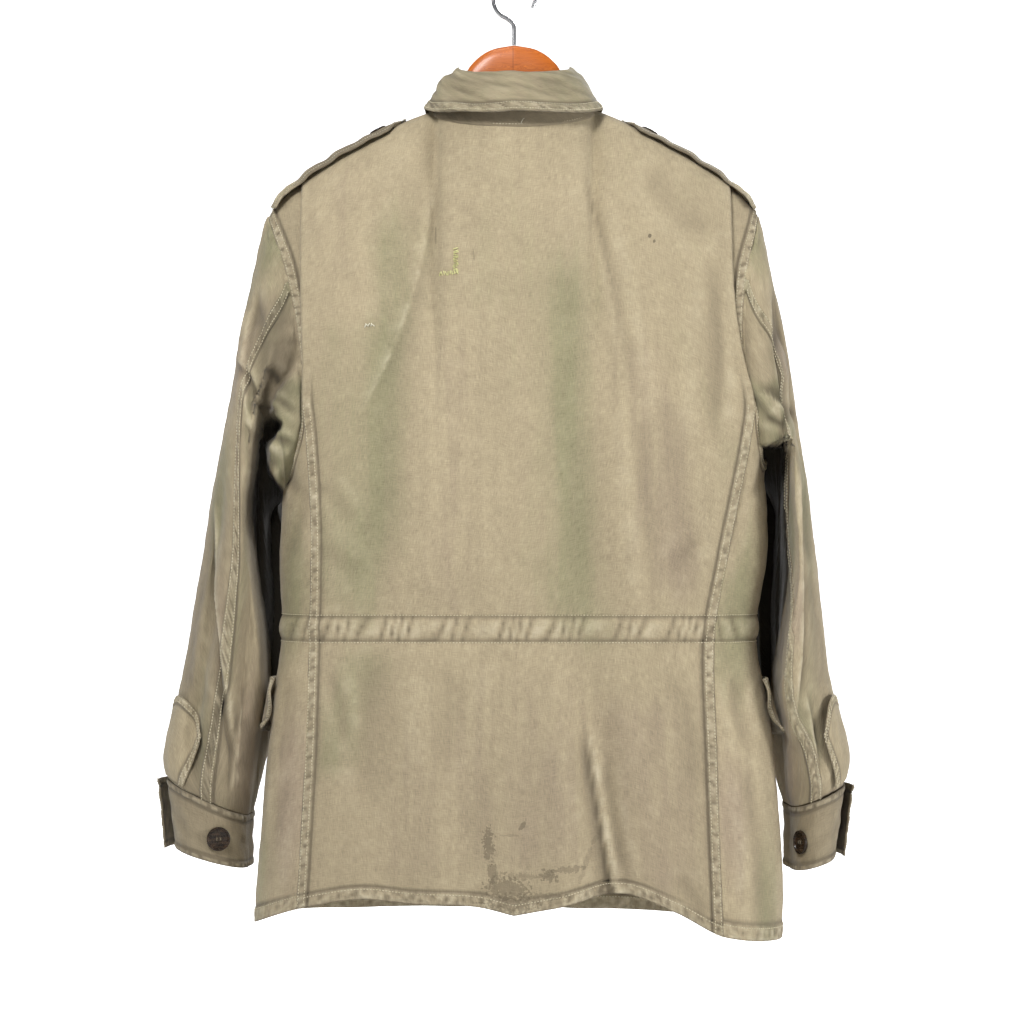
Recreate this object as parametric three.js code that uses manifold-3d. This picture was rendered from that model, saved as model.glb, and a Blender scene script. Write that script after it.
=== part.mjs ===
// A field jacket hanging on a wooden hanger. +Z is up, the jacket's back faces +Y and the wearer's left is +X.
// The origin is the inside top of the hanger's hook, where a rail would carry it. Sizes are in millimetres.
import * as THREE from "three";
import { mergeVertices } from "three/addons/utils/BufferGeometryUtils.js";
import Module from "manifold-3d";

// Cloth and seams
const CLOTH = 1.5; // one wall of heavy cotton sateen
const SEAM_GAP = 0.35; // between two pieces sewn edge to edge
const FELL_WIDTH = 9; // flat-felled seam, raised along a panel's edge
const FELL_RISE = 0.9;
const LAY = 0.4; // clearance of a piece that lies on another
const RIDGE_GAP = 0.4; // each panel stops this far from the shoulder seam
const BACK_HALF = 200; // half the back's width, for widths given as shares of it
const FRONT_WIDTH = 390; // a front from its side seam to its edge, for gaps given as shares of it

// Heights of the body's main levels
const HEM_LEVEL = -905;
const CHEST_LEVEL = -505;
const HEM_FADE_LEVEL = -655; // above this the hem's waves are gone
const CHANNEL_LOW = -631; // waist drawcord channel
const CHANNEL_HIGH = -608;
const CHANNEL_PUFF = 3.2;
const BACK_GATHERS = 26;
const FRONT_GATHERS = 13;

// Neck
const NECK_HALF_WIDTH = 74;
const NECK_BACK_DEPTH = 56;
const NECK_FRONT_DEPTH = 66;
const NECK_SIDE_Z = -125;
const NECK_BACK_DROP = 17;
const NECK_FRONT_DROP = 78;
const COLLAR_HEIGHT = 48;

// The body as rings: half widths on the wearer's left and right, depths behind and before the shoulder line
const BODY = [
  { z: -905, left: 249, right: 257, back: 80, front: 84, side: 78 },
  { z: -870, left: 247, right: 258, back: 79, front: 82, side: 76 },
  { z: -800, left: 241, right: 254, back: 75, front: 78, side: 74 },
  { z: -740, left: 236, right: 248, back: 70, front: 73, side: 70 },
  { z: -690, left: 231, right: 241, back: 66, front: 69, side: 66 },
  { z: -650, left: 225, right: 234, back: 61, front: 64, side: 62 },
  { z: -620, left: 222, right: 232, back: 58, front: 61, side: 60 },
  { z: -590, left: 223, right: 236, back: 62, front: 64, side: 62 },
  { z: -550, left: 224, right: 242, back: 68, front: 70, side: 66 },
  { z: -505, left: 222, right: 242, back: 72, front: 75, side: 70 },
];
const BACK_CROWN = 5; // how much the flat of the back and front bows

// How far the side seams, and above them the folds of the back pleats, stand from the middle
const BACK_EDGE = [
  { z: -910, left: 205, right: 195 },
  { z: -740, left: 196, right: 190 },
  { z: -630, left: 193, right: 188 },
  { z: -560, left: 191, right: 199 },
  { z: -505, left: 191, right: 209 },
  { z: -440, left: 195, right: 222 },
  { z: -405, left: 199, right: 226 },
  { z: -365, left: 200, right: 217 },
  { z: -325, left: 201, right: 210 },
  { z: -285, left: 202, right: 207 },
  { z: -180, left: 203, right: 206 },
];

// Hem height against the share of the way round from the middle of the back to the middle of the front
const HEM = [
  { share: 0, left: -887, right: -887 },
  { share: 0.06, left: -879, right: -880 },
  { share: 0.17, left: -876, right: -867 },
  { share: 0.25, left: -872, right: -884 },
  { share: 0.33, left: -879, right: -908 },
  { share: 0.48, left: -901, right: -915 },
  { share: 0.62, left: -899, right: -906 },
  { share: 1, left: -897, right: -897 },
];

// The shoulder seam, from the neck to the sleeve head
const SHOULDER = [
  { x: 60, z: -119 },
  { x: 74, z: -124.5 },
  { x: 104, z: -136 },
  { x: 152, z: -160 },
  { x: 196, z: -187 },
  { x: 222, z: -208 },
  { x: 236, z: -228 },
];
const SHOULDER_Y = 4;

// The armhole, as turns about it: 0 is the shoulder tip, 90 the back, 180 the underarm, 270 the front.
// pull is the direction in which the body's cloth leaves that point.
const ARMHOLES = {
  left: [
    { turn: 0, x: 235, y: 4, z: -227, pullY: -34, pullZ: -8 },
    { turn: 20, x: 228, y: 22, z: -247, pullY: 0, pullZ: -20 },
    { turn: 40, x: 216, y: 36, z: -284, pullY: 0, pullZ: -30 },
    { turn: 75, x: 204, y: 47, z: -345, pullY: 0, pullZ: -30 },
    { turn: 110, x: 200, y: 53, z: -407, pullY: 0, pullZ: -22 },
    { turn: 145, x: 211, y: 38, z: -452, pullY: 0, pullZ: -14 },
    { turn: 180, x: 223, y: 2, z: -477, pullY: 0, pullZ: -9 },
    { turn: 220, x: 214, y: -42, z: -442, pullY: 0, pullZ: -20 },
    { turn: 270, x: 203, y: -62, z: -372, pullY: -2, pullZ: -34 },
    { turn: 320, x: 213, y: -47, z: -288, pullY: -8, pullZ: -34 },
    { turn: 342, x: 225, y: -24, z: -246, pullY: -20, pullZ: -26 },
    { turn: 360, x: 235, y: 4, z: -227, pullY: -34, pullZ: -8 },
  ],
  right: [
    { turn: 0, x: 233, y: 4, z: -226, pullY: -34, pullZ: -8 },
    { turn: 20, x: 229, y: 22, z: -246, pullY: 0, pullZ: -20 },
    { turn: 40, x: 221, y: 36, z: -282, pullY: 0, pullZ: -30 },
    { turn: 75, x: 216, y: 46, z: -343, pullY: 0, pullZ: -30 },
    { turn: 110, x: 227, y: 49, z: -405, pullY: 0, pullZ: -22 },
    { turn: 145, x: 236, y: 34, z: -440, pullY: 0, pullZ: -14 },
    { turn: 180, x: 243, y: 2, z: -462, pullY: 0, pullZ: -9 },
    { turn: 220, x: 232, y: -40, z: -430, pullY: 0, pullZ: -20 },
    { turn: 270, x: 213, y: -60, z: -366, pullY: -2, pullZ: -34 },
    { turn: 320, x: 215, y: -46, z: -286, pullY: -8, pullZ: -34 },
    { turn: 342, x: 225, y: -24, z: -245, pullY: -20, pullZ: -26 },
    { turn: 360, x: 233, y: 4, z: -226, pullY: -34, pullZ: -8 },
  ],
};
const JUNCTION_TURN = 110; // where the side seam meets the armhole

// The sleeves as rings: the outer and the inner point of each, its middle front to back and its half depth
const SLEEVES = {
  left: [
    { v: 0, xOuter: 237, zOuter: -227, xInner: 225, zInner: -478, y: -4, depth: 54 },
    { v: 0.07, xOuter: 247, zOuter: -264, xInner: 231, zInner: -490, y: -5, depth: 66 },
    { v: 0.16, xOuter: 257, zOuter: -315, xInner: 238, zInner: -507, y: -7, depth: 74 },
    { v: 0.3, xOuter: 272, zOuter: -400, xInner: 236, zInner: -545, y: -10, depth: 78 },
    { v: 0.46, xOuter: 290, zOuter: -497, xInner: 233, zInner: -600, y: -12, depth: 78 },
    { v: 0.63, xOuter: 306, zOuter: -594, xInner: 236, zInner: -660, y: -14, depth: 75 },
    { v: 0.79, xOuter: 322, zOuter: -681, xInner: 244, zInner: -722, y: -16, depth: 68 },
    { v: 0.92, xOuter: 334, zOuter: -742, xInner: 252, zInner: -778, y: -18, depth: 58 },
    { v: 1, xOuter: 333, zOuter: -764, xInner: 256, zInner: -800, y: -18, depth: 50 },
  ],
  right: [
    { v: 0, xOuter: 235, zOuter: -226, xInner: 245, zInner: -463, y: -4, depth: 54 },
    { v: 0.07, xOuter: 243, zOuter: -262, xInner: 251, zInner: -480, y: -5, depth: 66 },
    { v: 0.16, xOuter: 252, zOuter: -306, xInner: 255, zInner: -500, y: -8, depth: 74 },
    { v: 0.3, xOuter: 268, zOuter: -398, xInner: 253, zInner: -545, y: -12, depth: 80 },
    { v: 0.46, xOuter: 281, zOuter: -485, xInner: 250, zInner: -600, y: -15, depth: 82 },
    { v: 0.63, xOuter: 294, zOuter: -592, xInner: 250, zInner: -660, y: -18, depth: 80 },
    { v: 0.79, xOuter: 306, zOuter: -680, xInner: 259, zInner: -722, y: -20, depth: 74 },
    { v: 0.92, xOuter: 320, zOuter: -742, xInner: 263, zInner: -775, y: -22, depth: 63 },
    { v: 1, xOuter: 317, zOuter: -770, xInner: 267, zInner: -792, y: -22, depth: 56 },
  ],
};
const SLEEVE_OFFSET = 1.9; // the sleeve head stands this far outside the armhole
const SLEEVE_BULGE = 2.2; // power of the ring's outline
const SLEEVE_TUCK = 36; // the sleeve's inner front swings in before the body
const BACK_SEAM_TURN = { head: 44, cuff: 86 }; // the sleeve's two long seams
const FRONT_SEAM_TURN = { head: 285, cuff: 262 };

// Deep folds of the hanging sleeves: troughs along them
const SLEEVE_FOLDS = {
  left: [
    { turn: 52, drift: 18, from: 0.34, to: 0.98, width: 13, depth: 13 },
    { turn: 108, drift: 22, from: 0.12, to: 0.9, width: 15, depth: 15 },
    { turn: 250, drift: 0, from: 0.2, to: 0.85, width: 16, depth: 12 },
    { turn: 312, drift: -6, from: 0.3, to: 0.9, width: 16, depth: 8 },
  ],
  right: [
    { turn: 34, drift: 4, from: 0.04, to: 0.46, width: 12, depth: 9 },
    { turn: 112, drift: 16, from: 0.14, to: 0.86, width: 16, depth: 14 },
    { turn: 250, drift: 0, from: 0.2, to: 0.85, width: 16, depth: 12 },
  ],
};

// Soft hanging folds of the back: troughs where depth is positive
const BACK_FOLDS = [
  { xLow: 148, xHigh: 112, from: -640, to: -190, width: 30, depth: 7 },
  { xLow: 92, xHigh: 74, from: -612, to: -330, width: 24, depth: -4 },
  { xLow: -60, xHigh: -50, from: -640, to: -240, width: 28, depth: 7 },
  { xLow: -112, xHigh: -92, from: -640, to: -380, width: 24, depth: -5 },
  { xLow: -92, xHigh: -68, from: -915, to: -618, width: 22, depth: 11 },
  { xLow: -52, xHigh: -44, from: -915, to: -660, width: 24, depth: -6 },
  { xLow: 122, xHigh: 126, from: -915, to: -620, width: 28, depth: 6 },
  { xLow: 40, xHigh: 48, from: -915, to: -640, width: 26, depth: 4 },
];
// The same on the front, as shares of the way round
const FRONT_FOLDS = [
  { low: 0.9, high: 0.86, from: -915, to: -612, width: 0.035, depth: 8 },
  { low: 0.72, high: 0.74, from: -915, to: -728, width: 0.045, depth: 9 },
  { low: 0.55, high: 0.58, from: -915, to: -735, width: 0.04, depth: 6 },
  { low: 0.76, high: 0.82, from: -612, to: -505, width: 0.04, depth: 5 },
];

// Pieces on the body
const PLEAT_UNDER = 26; // how far the pleat's under layer runs in behind its fold
const PLEAT_LAYER = 3.8; // between the two layers' middles
const FRONT_EDGE_X = -3; // where the two fronts meet
const PLACKET = { left: 27, right: 24, thickness: 2, lift: 2.7, ringLow: 420, ringTop: 640 };
const FLAP = {
  top: -668,
  height: 56,
  thickness: 2,
  rear: 0.45,
  front: 0.8,
  lift: 5,
  flare: { left: 2.4, right: 5 },
  rounding: 0.16,
};
const FRONT_BUTTONS = [0.14, 0.56, 0.86, 1.2, 1.52, 1.88]; // by rise

// Shoulder straps
const STRAP = {
  outer: 230,
  inner: 103,
  half: 22,
  thickness: 2.2,
  point: 20,
  forward: -6,
  lift: { left: 4.6, right: 3.3 },
  saddle: 80,
  curl: 6,
  tilt: { left: -0.12, right: 0.06 },
};

// Cuffs and the vent pieces behind them
const CUFF = { start: -38, end: 374, thickness: 2.2, lap: 3.4, kick: 6, seam: 1.2 };
const CUFF_END = {
  left: { xOuter: 326, zOuter: -830, xInner: 257, zInner: -850, y: -18, depth: 48 },
  right: { xOuter: 309, zOuter: -838, xInner: 268, zInner: -852, y: -22, depth: 55 },
};
const CUFF_BUTTONS = { left: { rear: 106, lap: 352 }, right: { rear: 132, lap: 352 } }; // by turn
const VENT = { from: -16, to: 62, lean: 12, top: 0.82, arch: 0.05, offset: 4.4, puff: 4 };

// Buttons: 36-line, four-hole, dished
const BUTTON = { radius: 11.5, rim: 2, height: 3.4, dish: 1.5 };
const BUTTON_SIDES = 12;
const HOLE = { radius: 1.25, out: 2.6, sides: 4 };
const STRAP_BUTTON = { radius: 8.5, rim: 1.6, height: 3, dish: 1.2 };
const BUTTON_CLEAR = 0.35; // more on a surface that is hollow or bowed
const BOWED_CLEAR = 0.6;

// Hanger
const HANGER_TOP = [
  { x: 0, top: -62 },
  { x: 24, top: -67.5 },
  { x: 42, top: -82 },
  { x: 51, top: -100 },
  { x: 57, top: -116 },
  { x: 66, top: -126 },
  { x: 86, top: -133.5 },
];
const HANGER_BOTTOM = [
  { x: 0, bottom: -152, half: 8 },
  { x: 50, bottom: -154, half: 8 },
  { x: 86, bottom: -163, half: 7.5 },
  { x: 140, bottom: -184, half: 7 },
  { x: 192, bottom: -213, half: 6 },
  { x: 211, bottom: -226, half: 4 },
];
const HANGER_CLEAR = { inner: 3, outer: 9.5 }; // below the cloth, and below the pleats' under layers
const HANGER_SIDES = 8;
const HOOK = { wire: 1.9, radius: 18, sides: 4, steps: 34, clear: 0.35 };

const SIDES = [
  { name: "left", sign: 1 },
  { name: "right", sign: -1 },
];
const MATERIALS = {
  cloth: new THREE.MeshStandardMaterial({ color: 0x8f8567, roughness: 0.9, metalness: 0 }),
  button: new THREE.MeshStandardMaterial({ color: 0x2a221c, roughness: 0.35, metalness: 0 }),
  wood: new THREE.MeshStandardMaterial({ color: 0x9c4a1e, roughness: 0.4, metalness: 0 }),
  steel: new THREE.MeshStandardMaterial({ color: 0xb8bac0, roughness: 0.25, metalness: 1 }),
};

const vec = (x, y, z) => new THREE.Vector3(x, y, z);
const lerp = THREE.MathUtils.lerp;
const clamp = THREE.MathUtils.clamp;
const smooth = THREE.MathUtils.smoothstep;
const radians = THREE.MathUtils.degToRad;

// A column of a table where its key column is at, on a smooth curve through the rows.
function read(table, key, at, column) {
  const last = table.length - 1;
  const clampedAt = clamp(at, table[0][key], table[last][key]);
  let i = 0;
  while (i < last - 1 && clampedAt > table[i + 1][key]) i++;
  const slope = (a, b) => (table[b][column] - table[a][column]) / (table[b][key] - table[a][key]);
  const span = table[i + 1][key] - table[i][key];
  const before = slope(Math.max(i - 1, 0), i + 1) * span;
  const after = slope(i, Math.min(i + 2, last)) * span;
  const t = (clampedAt - table[i][key]) / span;
  const from = table[i][column];
  const to = table[i + 1][column];
  const values = from * (1 + 2 * t) * (1 - t) ** 2 + to * t * t * (3 - 2 * t);
  return values + before * t * (1 - t) ** 2 - after * t * t * (1 - t);
}

function bezier(a, b, c, d, t) {
  return a * (1 - t) ** 3 + 3 * b * t * (1 - t) ** 2 + 3 * c * t * t * (1 - t) + d * t ** 3;
}

// A trough that fades at both its ends, at a distance from its middle.
function trough(fold, distance, at) {
  const span = fold.to - fold.from;
  const share = (at - fold.from) / span;
  const ends = smooth(share, 0, 0.25) * (1 - smooth(share, 0.75, 1));
  const open = fold.from < -900 ? 1 - smooth(share, 0.7, 1) : ends; // a fold that starts at the hem runs out of it
  return fold.depth * open * Math.exp(-((distance / fold.width) ** 2));
}

// One half ring at height z: its flat half width, side radius and depths.
function ringAt(side, z) {
  const half = read(BODY, "z", z, side.name);
  const radius = read(BODY, "z", z, "side");
  const back = read(BODY, "z", z, "back");
  const front = read(BODY, "z", z, "front");
  const flat = half - radius;
  const crown = BACK_CROWN * (flat / half) ** 2;
  const bend = (Math.PI / 2) * (radius + (back + front) / 2 - crown);
  return { half, radius, back, front, flat, crown, bend, length: 2 * flat + bend };
}

// The depth of the back's surface at a place across it.
function backDepth(side, x, z) {
  const ring = ringAt(side, z);
  if (x < ring.flat) return ring.back - BACK_CROWN * (x / ring.half) ** 2;
  return (ring.back - ring.crown) * Math.sqrt(Math.max(0, 1 - ((x - ring.flat) / ring.radius) ** 2));
}

// The share of the way round a half ring, from the middle of the back, at which the back is x wide.
function shareOfX(side, x, z) {
  const ring = ringAt(side, z);
  if (x < ring.flat) return x / ring.length;
  const turned = Math.PI / 2 - Math.acos((x - ring.flat) / ring.radius);
  return (ring.flat + (ring.bend * turned) / Math.PI) / ring.length;
}

// A point of a half ring, from the middle of the back (0) to the middle of the front (1).
function ringPoint(side, share, z) {
  const ring = ringAt(side, z);
  const along = share * ring.length;
  let x = along;
  let y = ring.back - BACK_CROWN * (x / ring.half) ** 2;
  if (along > ring.flat + ring.bend) {
    x = ring.length - along;
    y = -ring.front + BACK_CROWN * (x / ring.half) ** 2;
  } else if (along > ring.flat) {
    const turn = Math.PI / 2 - (Math.PI * (along - ring.flat)) / ring.bend;
    x = ring.flat + ring.radius * Math.cos(turn);
    y = (turn > 0 ? ring.back - ring.crown : ring.front - ring.crown) * Math.sin(turn);
  }
  return vec(side.sign * x, y, z);
}

// The height of a level once the hem's waves are added to it.
function withHem(side, share, level) {
  const wave = read(HEM, "share", share, side.name) - HEM_LEVEL;
  return level + wave * clamp((HEM_FADE_LEVEL - level) / (HEM_FADE_LEVEL - HEM_LEVEL), 0, 1);
}

// The rise of a panel runs from 0 at the hem to 1 at the chest and 2 at its top edge.
const riseOf = (level) => (level - HEM_LEVEL) / (CHEST_LEVEL - HEM_LEVEL);
const levelOf = (rise) => lerp(HEM_LEVEL, CHEST_LEVEL, rise);

const shoulderZ = (x) => read(SHOULDER, "x", x, "z");

// A point of the neck seam: 0 is the middle of the back, 1 the side, 2 the middle of the front.
function neckPoint(side, around) {
  const turn = (around * Math.PI) / 2;
  const x = side.sign * NECK_HALF_WIDTH * Math.sin(turn);
  if (around <= 1) {
    const back = Math.cos(turn);
    return vec(x, lerp(SHOULDER_Y, NECK_BACK_DEPTH, back), NECK_SIDE_Z - NECK_BACK_DROP * back);
  }
  const front = -Math.cos(turn);
  return vec(x, lerp(SHOULDER_Y, -NECK_FRONT_DEPTH, front), NECK_SIDE_Z - NECK_FRONT_DROP * front ** 1.6);
}

function backFolds(x, z) {
  let sum = 0;
  for (const fold of BACK_FOLDS) {
    const middle = lerp(fold.xLow, fold.xHigh, clamp((z - fold.from) / (fold.to - fold.from), 0, 1));
    sum += trough(fold, x - middle, z);
  }
  return sum;
}

// The back: across runs from -1 at the right side seam to 1 at the left one.
function backPoint(across, rise) {
  const side = SIDES[across < 0 ? 1 : 0];
  const u = Math.abs(across);
  const keep = 1 - smooth(u, 0.86, 0.97); // the side seams hold the folds flat
  if (rise <= 1) {
    const level = levelOf(rise);
    const roughX = u * read(BACK_EDGE, "z", level, side.name);
    const z = withHem(side, shareOfX(side, roughX, level), level);
    const x = u * read(BACK_EDGE, "z", z, side.name);
    return vec(side.sign * x, backDepth(side, x, z) - keep * backFolds(side.sign * x, z), z);
  }
  const t = rise - 1;
  const topX = u * read(BACK_EDGE, "z", -185, side.name);
  const onNeck = topX < NECK_HALF_WIDTH;
  const top = onNeck
    ? neckPoint(side, (2 / Math.PI) * Math.asin(topX / NECK_HALF_WIDTH))
    : vec(side.sign * topX, SHOULDER_Y + RIDGE_GAP, shoulderZ(topX));
  const outward = smooth(topX, NECK_HALF_WIDTH * 0.5, NECK_HALF_WIDTH * 1.3);
  const chestX = u * read(BACK_EDGE, "z", CHEST_LEVEL, side.name);
  const y0 = backDepth(side, chestX, CHEST_LEVEL);
  const height = top.z - CHEST_LEVEL;
  const z = bezier(CHEST_LEVEL, CHEST_LEVEL + 0.42 * height, top.z - lerp(45, 9, outward), top.z, t);
  const y = bezier(y0, y0 + 3, top.y + lerp(8, 46, outward), top.y, t);
  const x = lerp(u * read(BACK_EDGE, "z", z, side.name), topX, smooth(t, 0.8, 1));
  return vec(side.sign * x, y - keep * backFolds(side.sign * x, z), z);
}

const armholeRow = (side, turn, column) => read(ARMHOLES[side.name], "turn", turn, column);
function armholePoint(side, turn) {
  return vec(side.sign * armholeRow(side, turn, "x"), armholeRow(side, turn, "y"), armholeRow(side, turn, "z"));
}

// Shares of the front's width: side seam to shoulder tip, tip to neck, neck to the front edge
const FRONT_TIP = 0.5;
const FRONT_NECK = 0.82;
const FULL_PULL_HEIGHT = 120; // lower columns leave their top edge less steeply

// Where a column of the front ends, and the way the cloth leaves that point.
function frontTop(side, across) {
  if (across < FRONT_TIP) {
    const turn = lerp(JUNCTION_TURN, 360, Math.max(across / FRONT_TIP, 0) ** 0.85);
    return {
      point: armholePoint(side, turn),
      pull: vec(0, armholeRow(side, turn, "pullY"), armholeRow(side, turn, "pullZ")),
    };
  }
  if (across < FRONT_NECK) {
    const share = (across - FRONT_TIP) / (FRONT_NECK - FRONT_TIP);
    const x = lerp(armholeRow(side, 0, "x"), NECK_HALF_WIDTH, share);
    const point = vec(side.sign * x, SHOULDER_Y - RIDGE_GAP, shoulderZ(x));
    return { point, pull: vec(0, lerp(-34, -30, share), -8) };
  }
  const share = (across - FRONT_NECK) / (1 - FRONT_NECK);
  return { point: neckPoint(side, 1 + share), pull: vec(0, lerp(-30, -5, share), lerp(-8, -34, share)) };
}

function frontFolds(share, z) {
  let sum = 0;
  for (const fold of FRONT_FOLDS) {
    const middle = lerp(fold.low, fold.high, clamp((z - fold.from) / (fold.to - fold.from), 0, 1));
    sum += trough(fold, share - middle, z);
  }
  return sum;
}

// Share of the half ring at which a column of the front stands, below the chest.
function frontShare(side, across, z) {
  const seam = shareOfX(side, read(BACK_EDGE, "z", z, side.name), z);
  return lerp(seam, 1, across);
}

// A point of the front at and below the chest, by its share of the way round.
function skirtPoint(side, share, level) {
  return ringFolded(side, share, withHem(side, share, level));
}
function ringFolded(side, share, z) {
  const p = ringPoint(side, share, z);
  const toMiddle = vec(p.x * 0.35, p.y, 0).normalize();
  return p.addScaledVector(toMiddle, -frontFolds(share, z));
}

// The front: across runs from 0 at the side seam, behind, round the side to 1 at the middle of the front.
function frontPoint(side, across, rise) {
  if (rise <= 1) {
    const level = levelOf(rise);
    const z = withHem(side, frontShare(side, across, level), level);
    return ringFolded(side, frontShare(side, across, z), z);
  }
  const t = rise - 1;
  const low = skirtPoint(side, frontShare(side, across, CHEST_LEVEL), CHEST_LEVEL);
  const { point: top, pull } = frontTop(side, across);
  const height = top.z - low.z;
  const reach = Math.min(1, height / FULL_PULL_HEIGHT);
  const p = vec(
    bezier(low.x, low.x, top.x, top.x, t),
    bezier(low.y, low.y, top.y + pull.y * reach, top.y, t),
    bezier(low.z, low.z + 0.4 * height, top.z + pull.z * reach, top.z, t),
  );
  // The rear edge keeps to the back's own edge, so that the seam stays closed.
  const nearSeam = 1 - smooth(across, 0, 0.16);
  if (nearSeam > 0) {
    const seamX = side.sign * read(BACK_EDGE, "z", p.z, side.name);
    const edge = backAtHeight(side.sign, p.z);
    const ownX = bezier(edgeLow(side).x, edgeLow(side).x, edgeTop(side).x, edgeTop(side).x, t);
    const ownY = bezier(edgeLow(side).y, edgeLow(side).y, edgeTop(side).y, edgeTop(side).y, t);
    p.x += nearSeam * (seamX - ownX + side.sign * 0.5 * smooth(t, 0, 0.1));
    p.y += nearSeam * (edge.y - ownY);
  }
  return p;
}
const edgeLow = (side) => backPoint(side.sign, 1);
const edgeTop = (side) => armholePoint(side, JUNCTION_TURN);

// The point at a height above the chest on one of the back's columns.
function backAtHeight(across, z) {
  let low = 1;
  let high = 2;
  for (let i = 0; i < 24; i++) {
    const middle = (low + high) / 2;
    if (backPoint(across, middle).z < z) low = middle;
    else high = middle;
  }
  return backPoint(across, low);
}

// The under layer of a back pleat: across runs from behind the fold to the armhole.
function pleatPoint(side, across, rise) {
  const outer = armholePoint(side, lerp(JUNCTION_TURN - 4, 0, rise));
  outer.y += 2 * smooth(rise, 0.8, 1);
  const topX = read(BACK_EDGE, "z", -185, side.name) - PLEAT_UNDER;
  const level = smooth(rise, 0.6, 0.95); // near the shoulder the layer lies below, further down it lies before
  const z = lerp(outer.z, shoulderZ(topX) - PLEAT_LAYER, smooth(rise, 0.55, 1));
  const under = PLEAT_UNDER * smooth(rise, 0, 0.15);
  const edge = backAtHeight(side.sign, Math.min(z, -195));
  const hidden = backAtHeight(side.sign * (1 - under / Math.abs(edge.x)), z + PLEAT_LAYER * level);
  const inner = vec(hidden.x, hidden.y - PLEAT_LAYER * (1 - level), z);
  const ends = [Math.abs(inner.x), Math.abs(outer.x)];
  const p = inner.lerp(outer, across);
  const bow = shoulderZ(Math.abs(p.x)) - lerp(shoulderZ(ends[0]), shoulderZ(ends[1]), across);
  const below = PLEAT_LAYER * Math.max(0, across - smooth(Math.abs(p.x), 203, 213));
  p.z += (bow - below) * smooth(rise, 0.5, 0.95);
  p.y -= 3 * Math.sin(Math.PI * across) * (1 - rise);
  return p;
}

const power = (value, exponent) => Math.sign(value) * Math.abs(value) ** exponent;

// A ring between its outer and inner point: turn is 0 outside, 90 behind, 180 inside and 270 in front.
function tubePoint(side, row, turn) {
  const angle = radians(turn);
  const out = power(Math.cos(angle), 2 / SLEEVE_BULGE);
  const rear = power(Math.sin(angle), 2 / SLEEVE_BULGE);
  return vec(
    side.sign * ((row.xOuter + row.xInner) / 2 + ((row.xOuter - row.xInner) / 2) * out),
    row.y + row.depth * rear,
    (row.zOuter + row.zInner) / 2 + ((row.zOuter - row.zInner) / 2) * out,
  );
}

function sleeveRow(side, v) {
  const row = {};
  for (const column of ["xOuter", "zOuter", "xInner", "zInner", "y", "depth"])
    row[column] = read(SLEEVES[side.name], "v", v, column);
  return row;
}

function sleevePoint(side, turn, v) {
  const wrapped = ((turn % 360) + 360) % 360;
  const row = sleeveRow(side, v);
  const p = tubePoint(side, row, turn);
  const head = (1 - smooth(v, 0, 0.3)) ** 2;
  if (head > 0) {
    const seam = armholePoint(side, wrapped).add(vec(side.sign * SLEEVE_OFFSET, 0, 0));
    p.addScaledVector(seam.sub(tubePoint(side, sleeveRow(side, 0), turn)), head);
  }
  const swing = Math.max(0, -Math.sin(radians(wrapped))) * (1 - Math.cos(radians(wrapped))) * 0.5;
  p.x -= side.sign * SLEEVE_TUCK * swing * smooth(v, 0.08, 0.32) * (1 - 0.6 * smooth(v, 0.7, 1));
  let sunk = 0;
  for (const fold of SLEEVE_FOLDS[side.name]) {
    const middle = fold.turn + (fold.drift * (v - fold.from)) / (fold.to - fold.from);
    const away = ((wrapped - middle + 540) % 360) - 180;
    sunk += trough(fold, away, v);
  }
  const centre = vec(side.sign * ((row.xOuter + row.xInner) / 2), row.y, p.z);
  return p.addScaledVector(centre.sub(p).normalize(), Math.min(sunk, 16));
}

const seamTurn = (seam, v) => lerp(seam.head, seam.cuff, smooth(v, 0, 0.5));

// The cuff's strip: turn runs once round and over its own start, v from the sleeve to the cuff's edge.
function cuffPoint(side, turn, v) {
  const top = sleeveRow(side, 1);
  const end = CUFF_END[side.name];
  const row = {};
  for (const column of Object.keys(end)) row[column] = lerp(top[column], end[column], v);
  row.zOuter -= CUFF.seam;
  row.zInner -= CUFF.seam;
  const lapped = CUFF.lap * smooth(turn, CUFF.start + 300, CUFF.start + 350);
  const kick = CUFF.kick * smooth(turn, CUFF.end - 34, CUFF.end) ** 2;
  const p = tubePoint(side, row, turn);
  const swing = Math.max(0, -Math.sin(radians(turn))) * (1 - Math.cos(radians(turn))) * 0.5;
  p.x -= side.sign * SLEEVE_TUCK * 0.4 * swing;
  const centre = vec(side.sign * ((row.xOuter + row.xInner) / 2), row.y, p.z);
  return p.addScaledVector(p.clone().sub(centre).normalize(), lapped + kick);
}

// Collar: around runs from -1 at the right front edge to 1 at the left, through the middle of the back
const COLLAR_GAP = 0.1; // share of each half that the open front leaves free

// The neck seam's own loop as the collar meets it.
function collarBase(around) {
  const side = SIDES[around < 0 ? 1 : 0];
  return neckPoint(side, 2 * Math.abs(around) * (1 - COLLAR_GAP / 2));
}

// The collar's stand leans in to the fold line at its top.
function standPoint(around, v) {
  const base = collarBase(around);
  const back = 1 - Math.abs(around);
  const lift = COLLAR_HEIGHT * lerp(0.7, 1, back);
  const foot = base.clone().add(vec(0, 0, 2.7));
  const top = vec(base.x * 0.76, lerp(base.y, 0, 0.2), base.z + lift);
  return foot.lerp(top, v);
}

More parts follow.
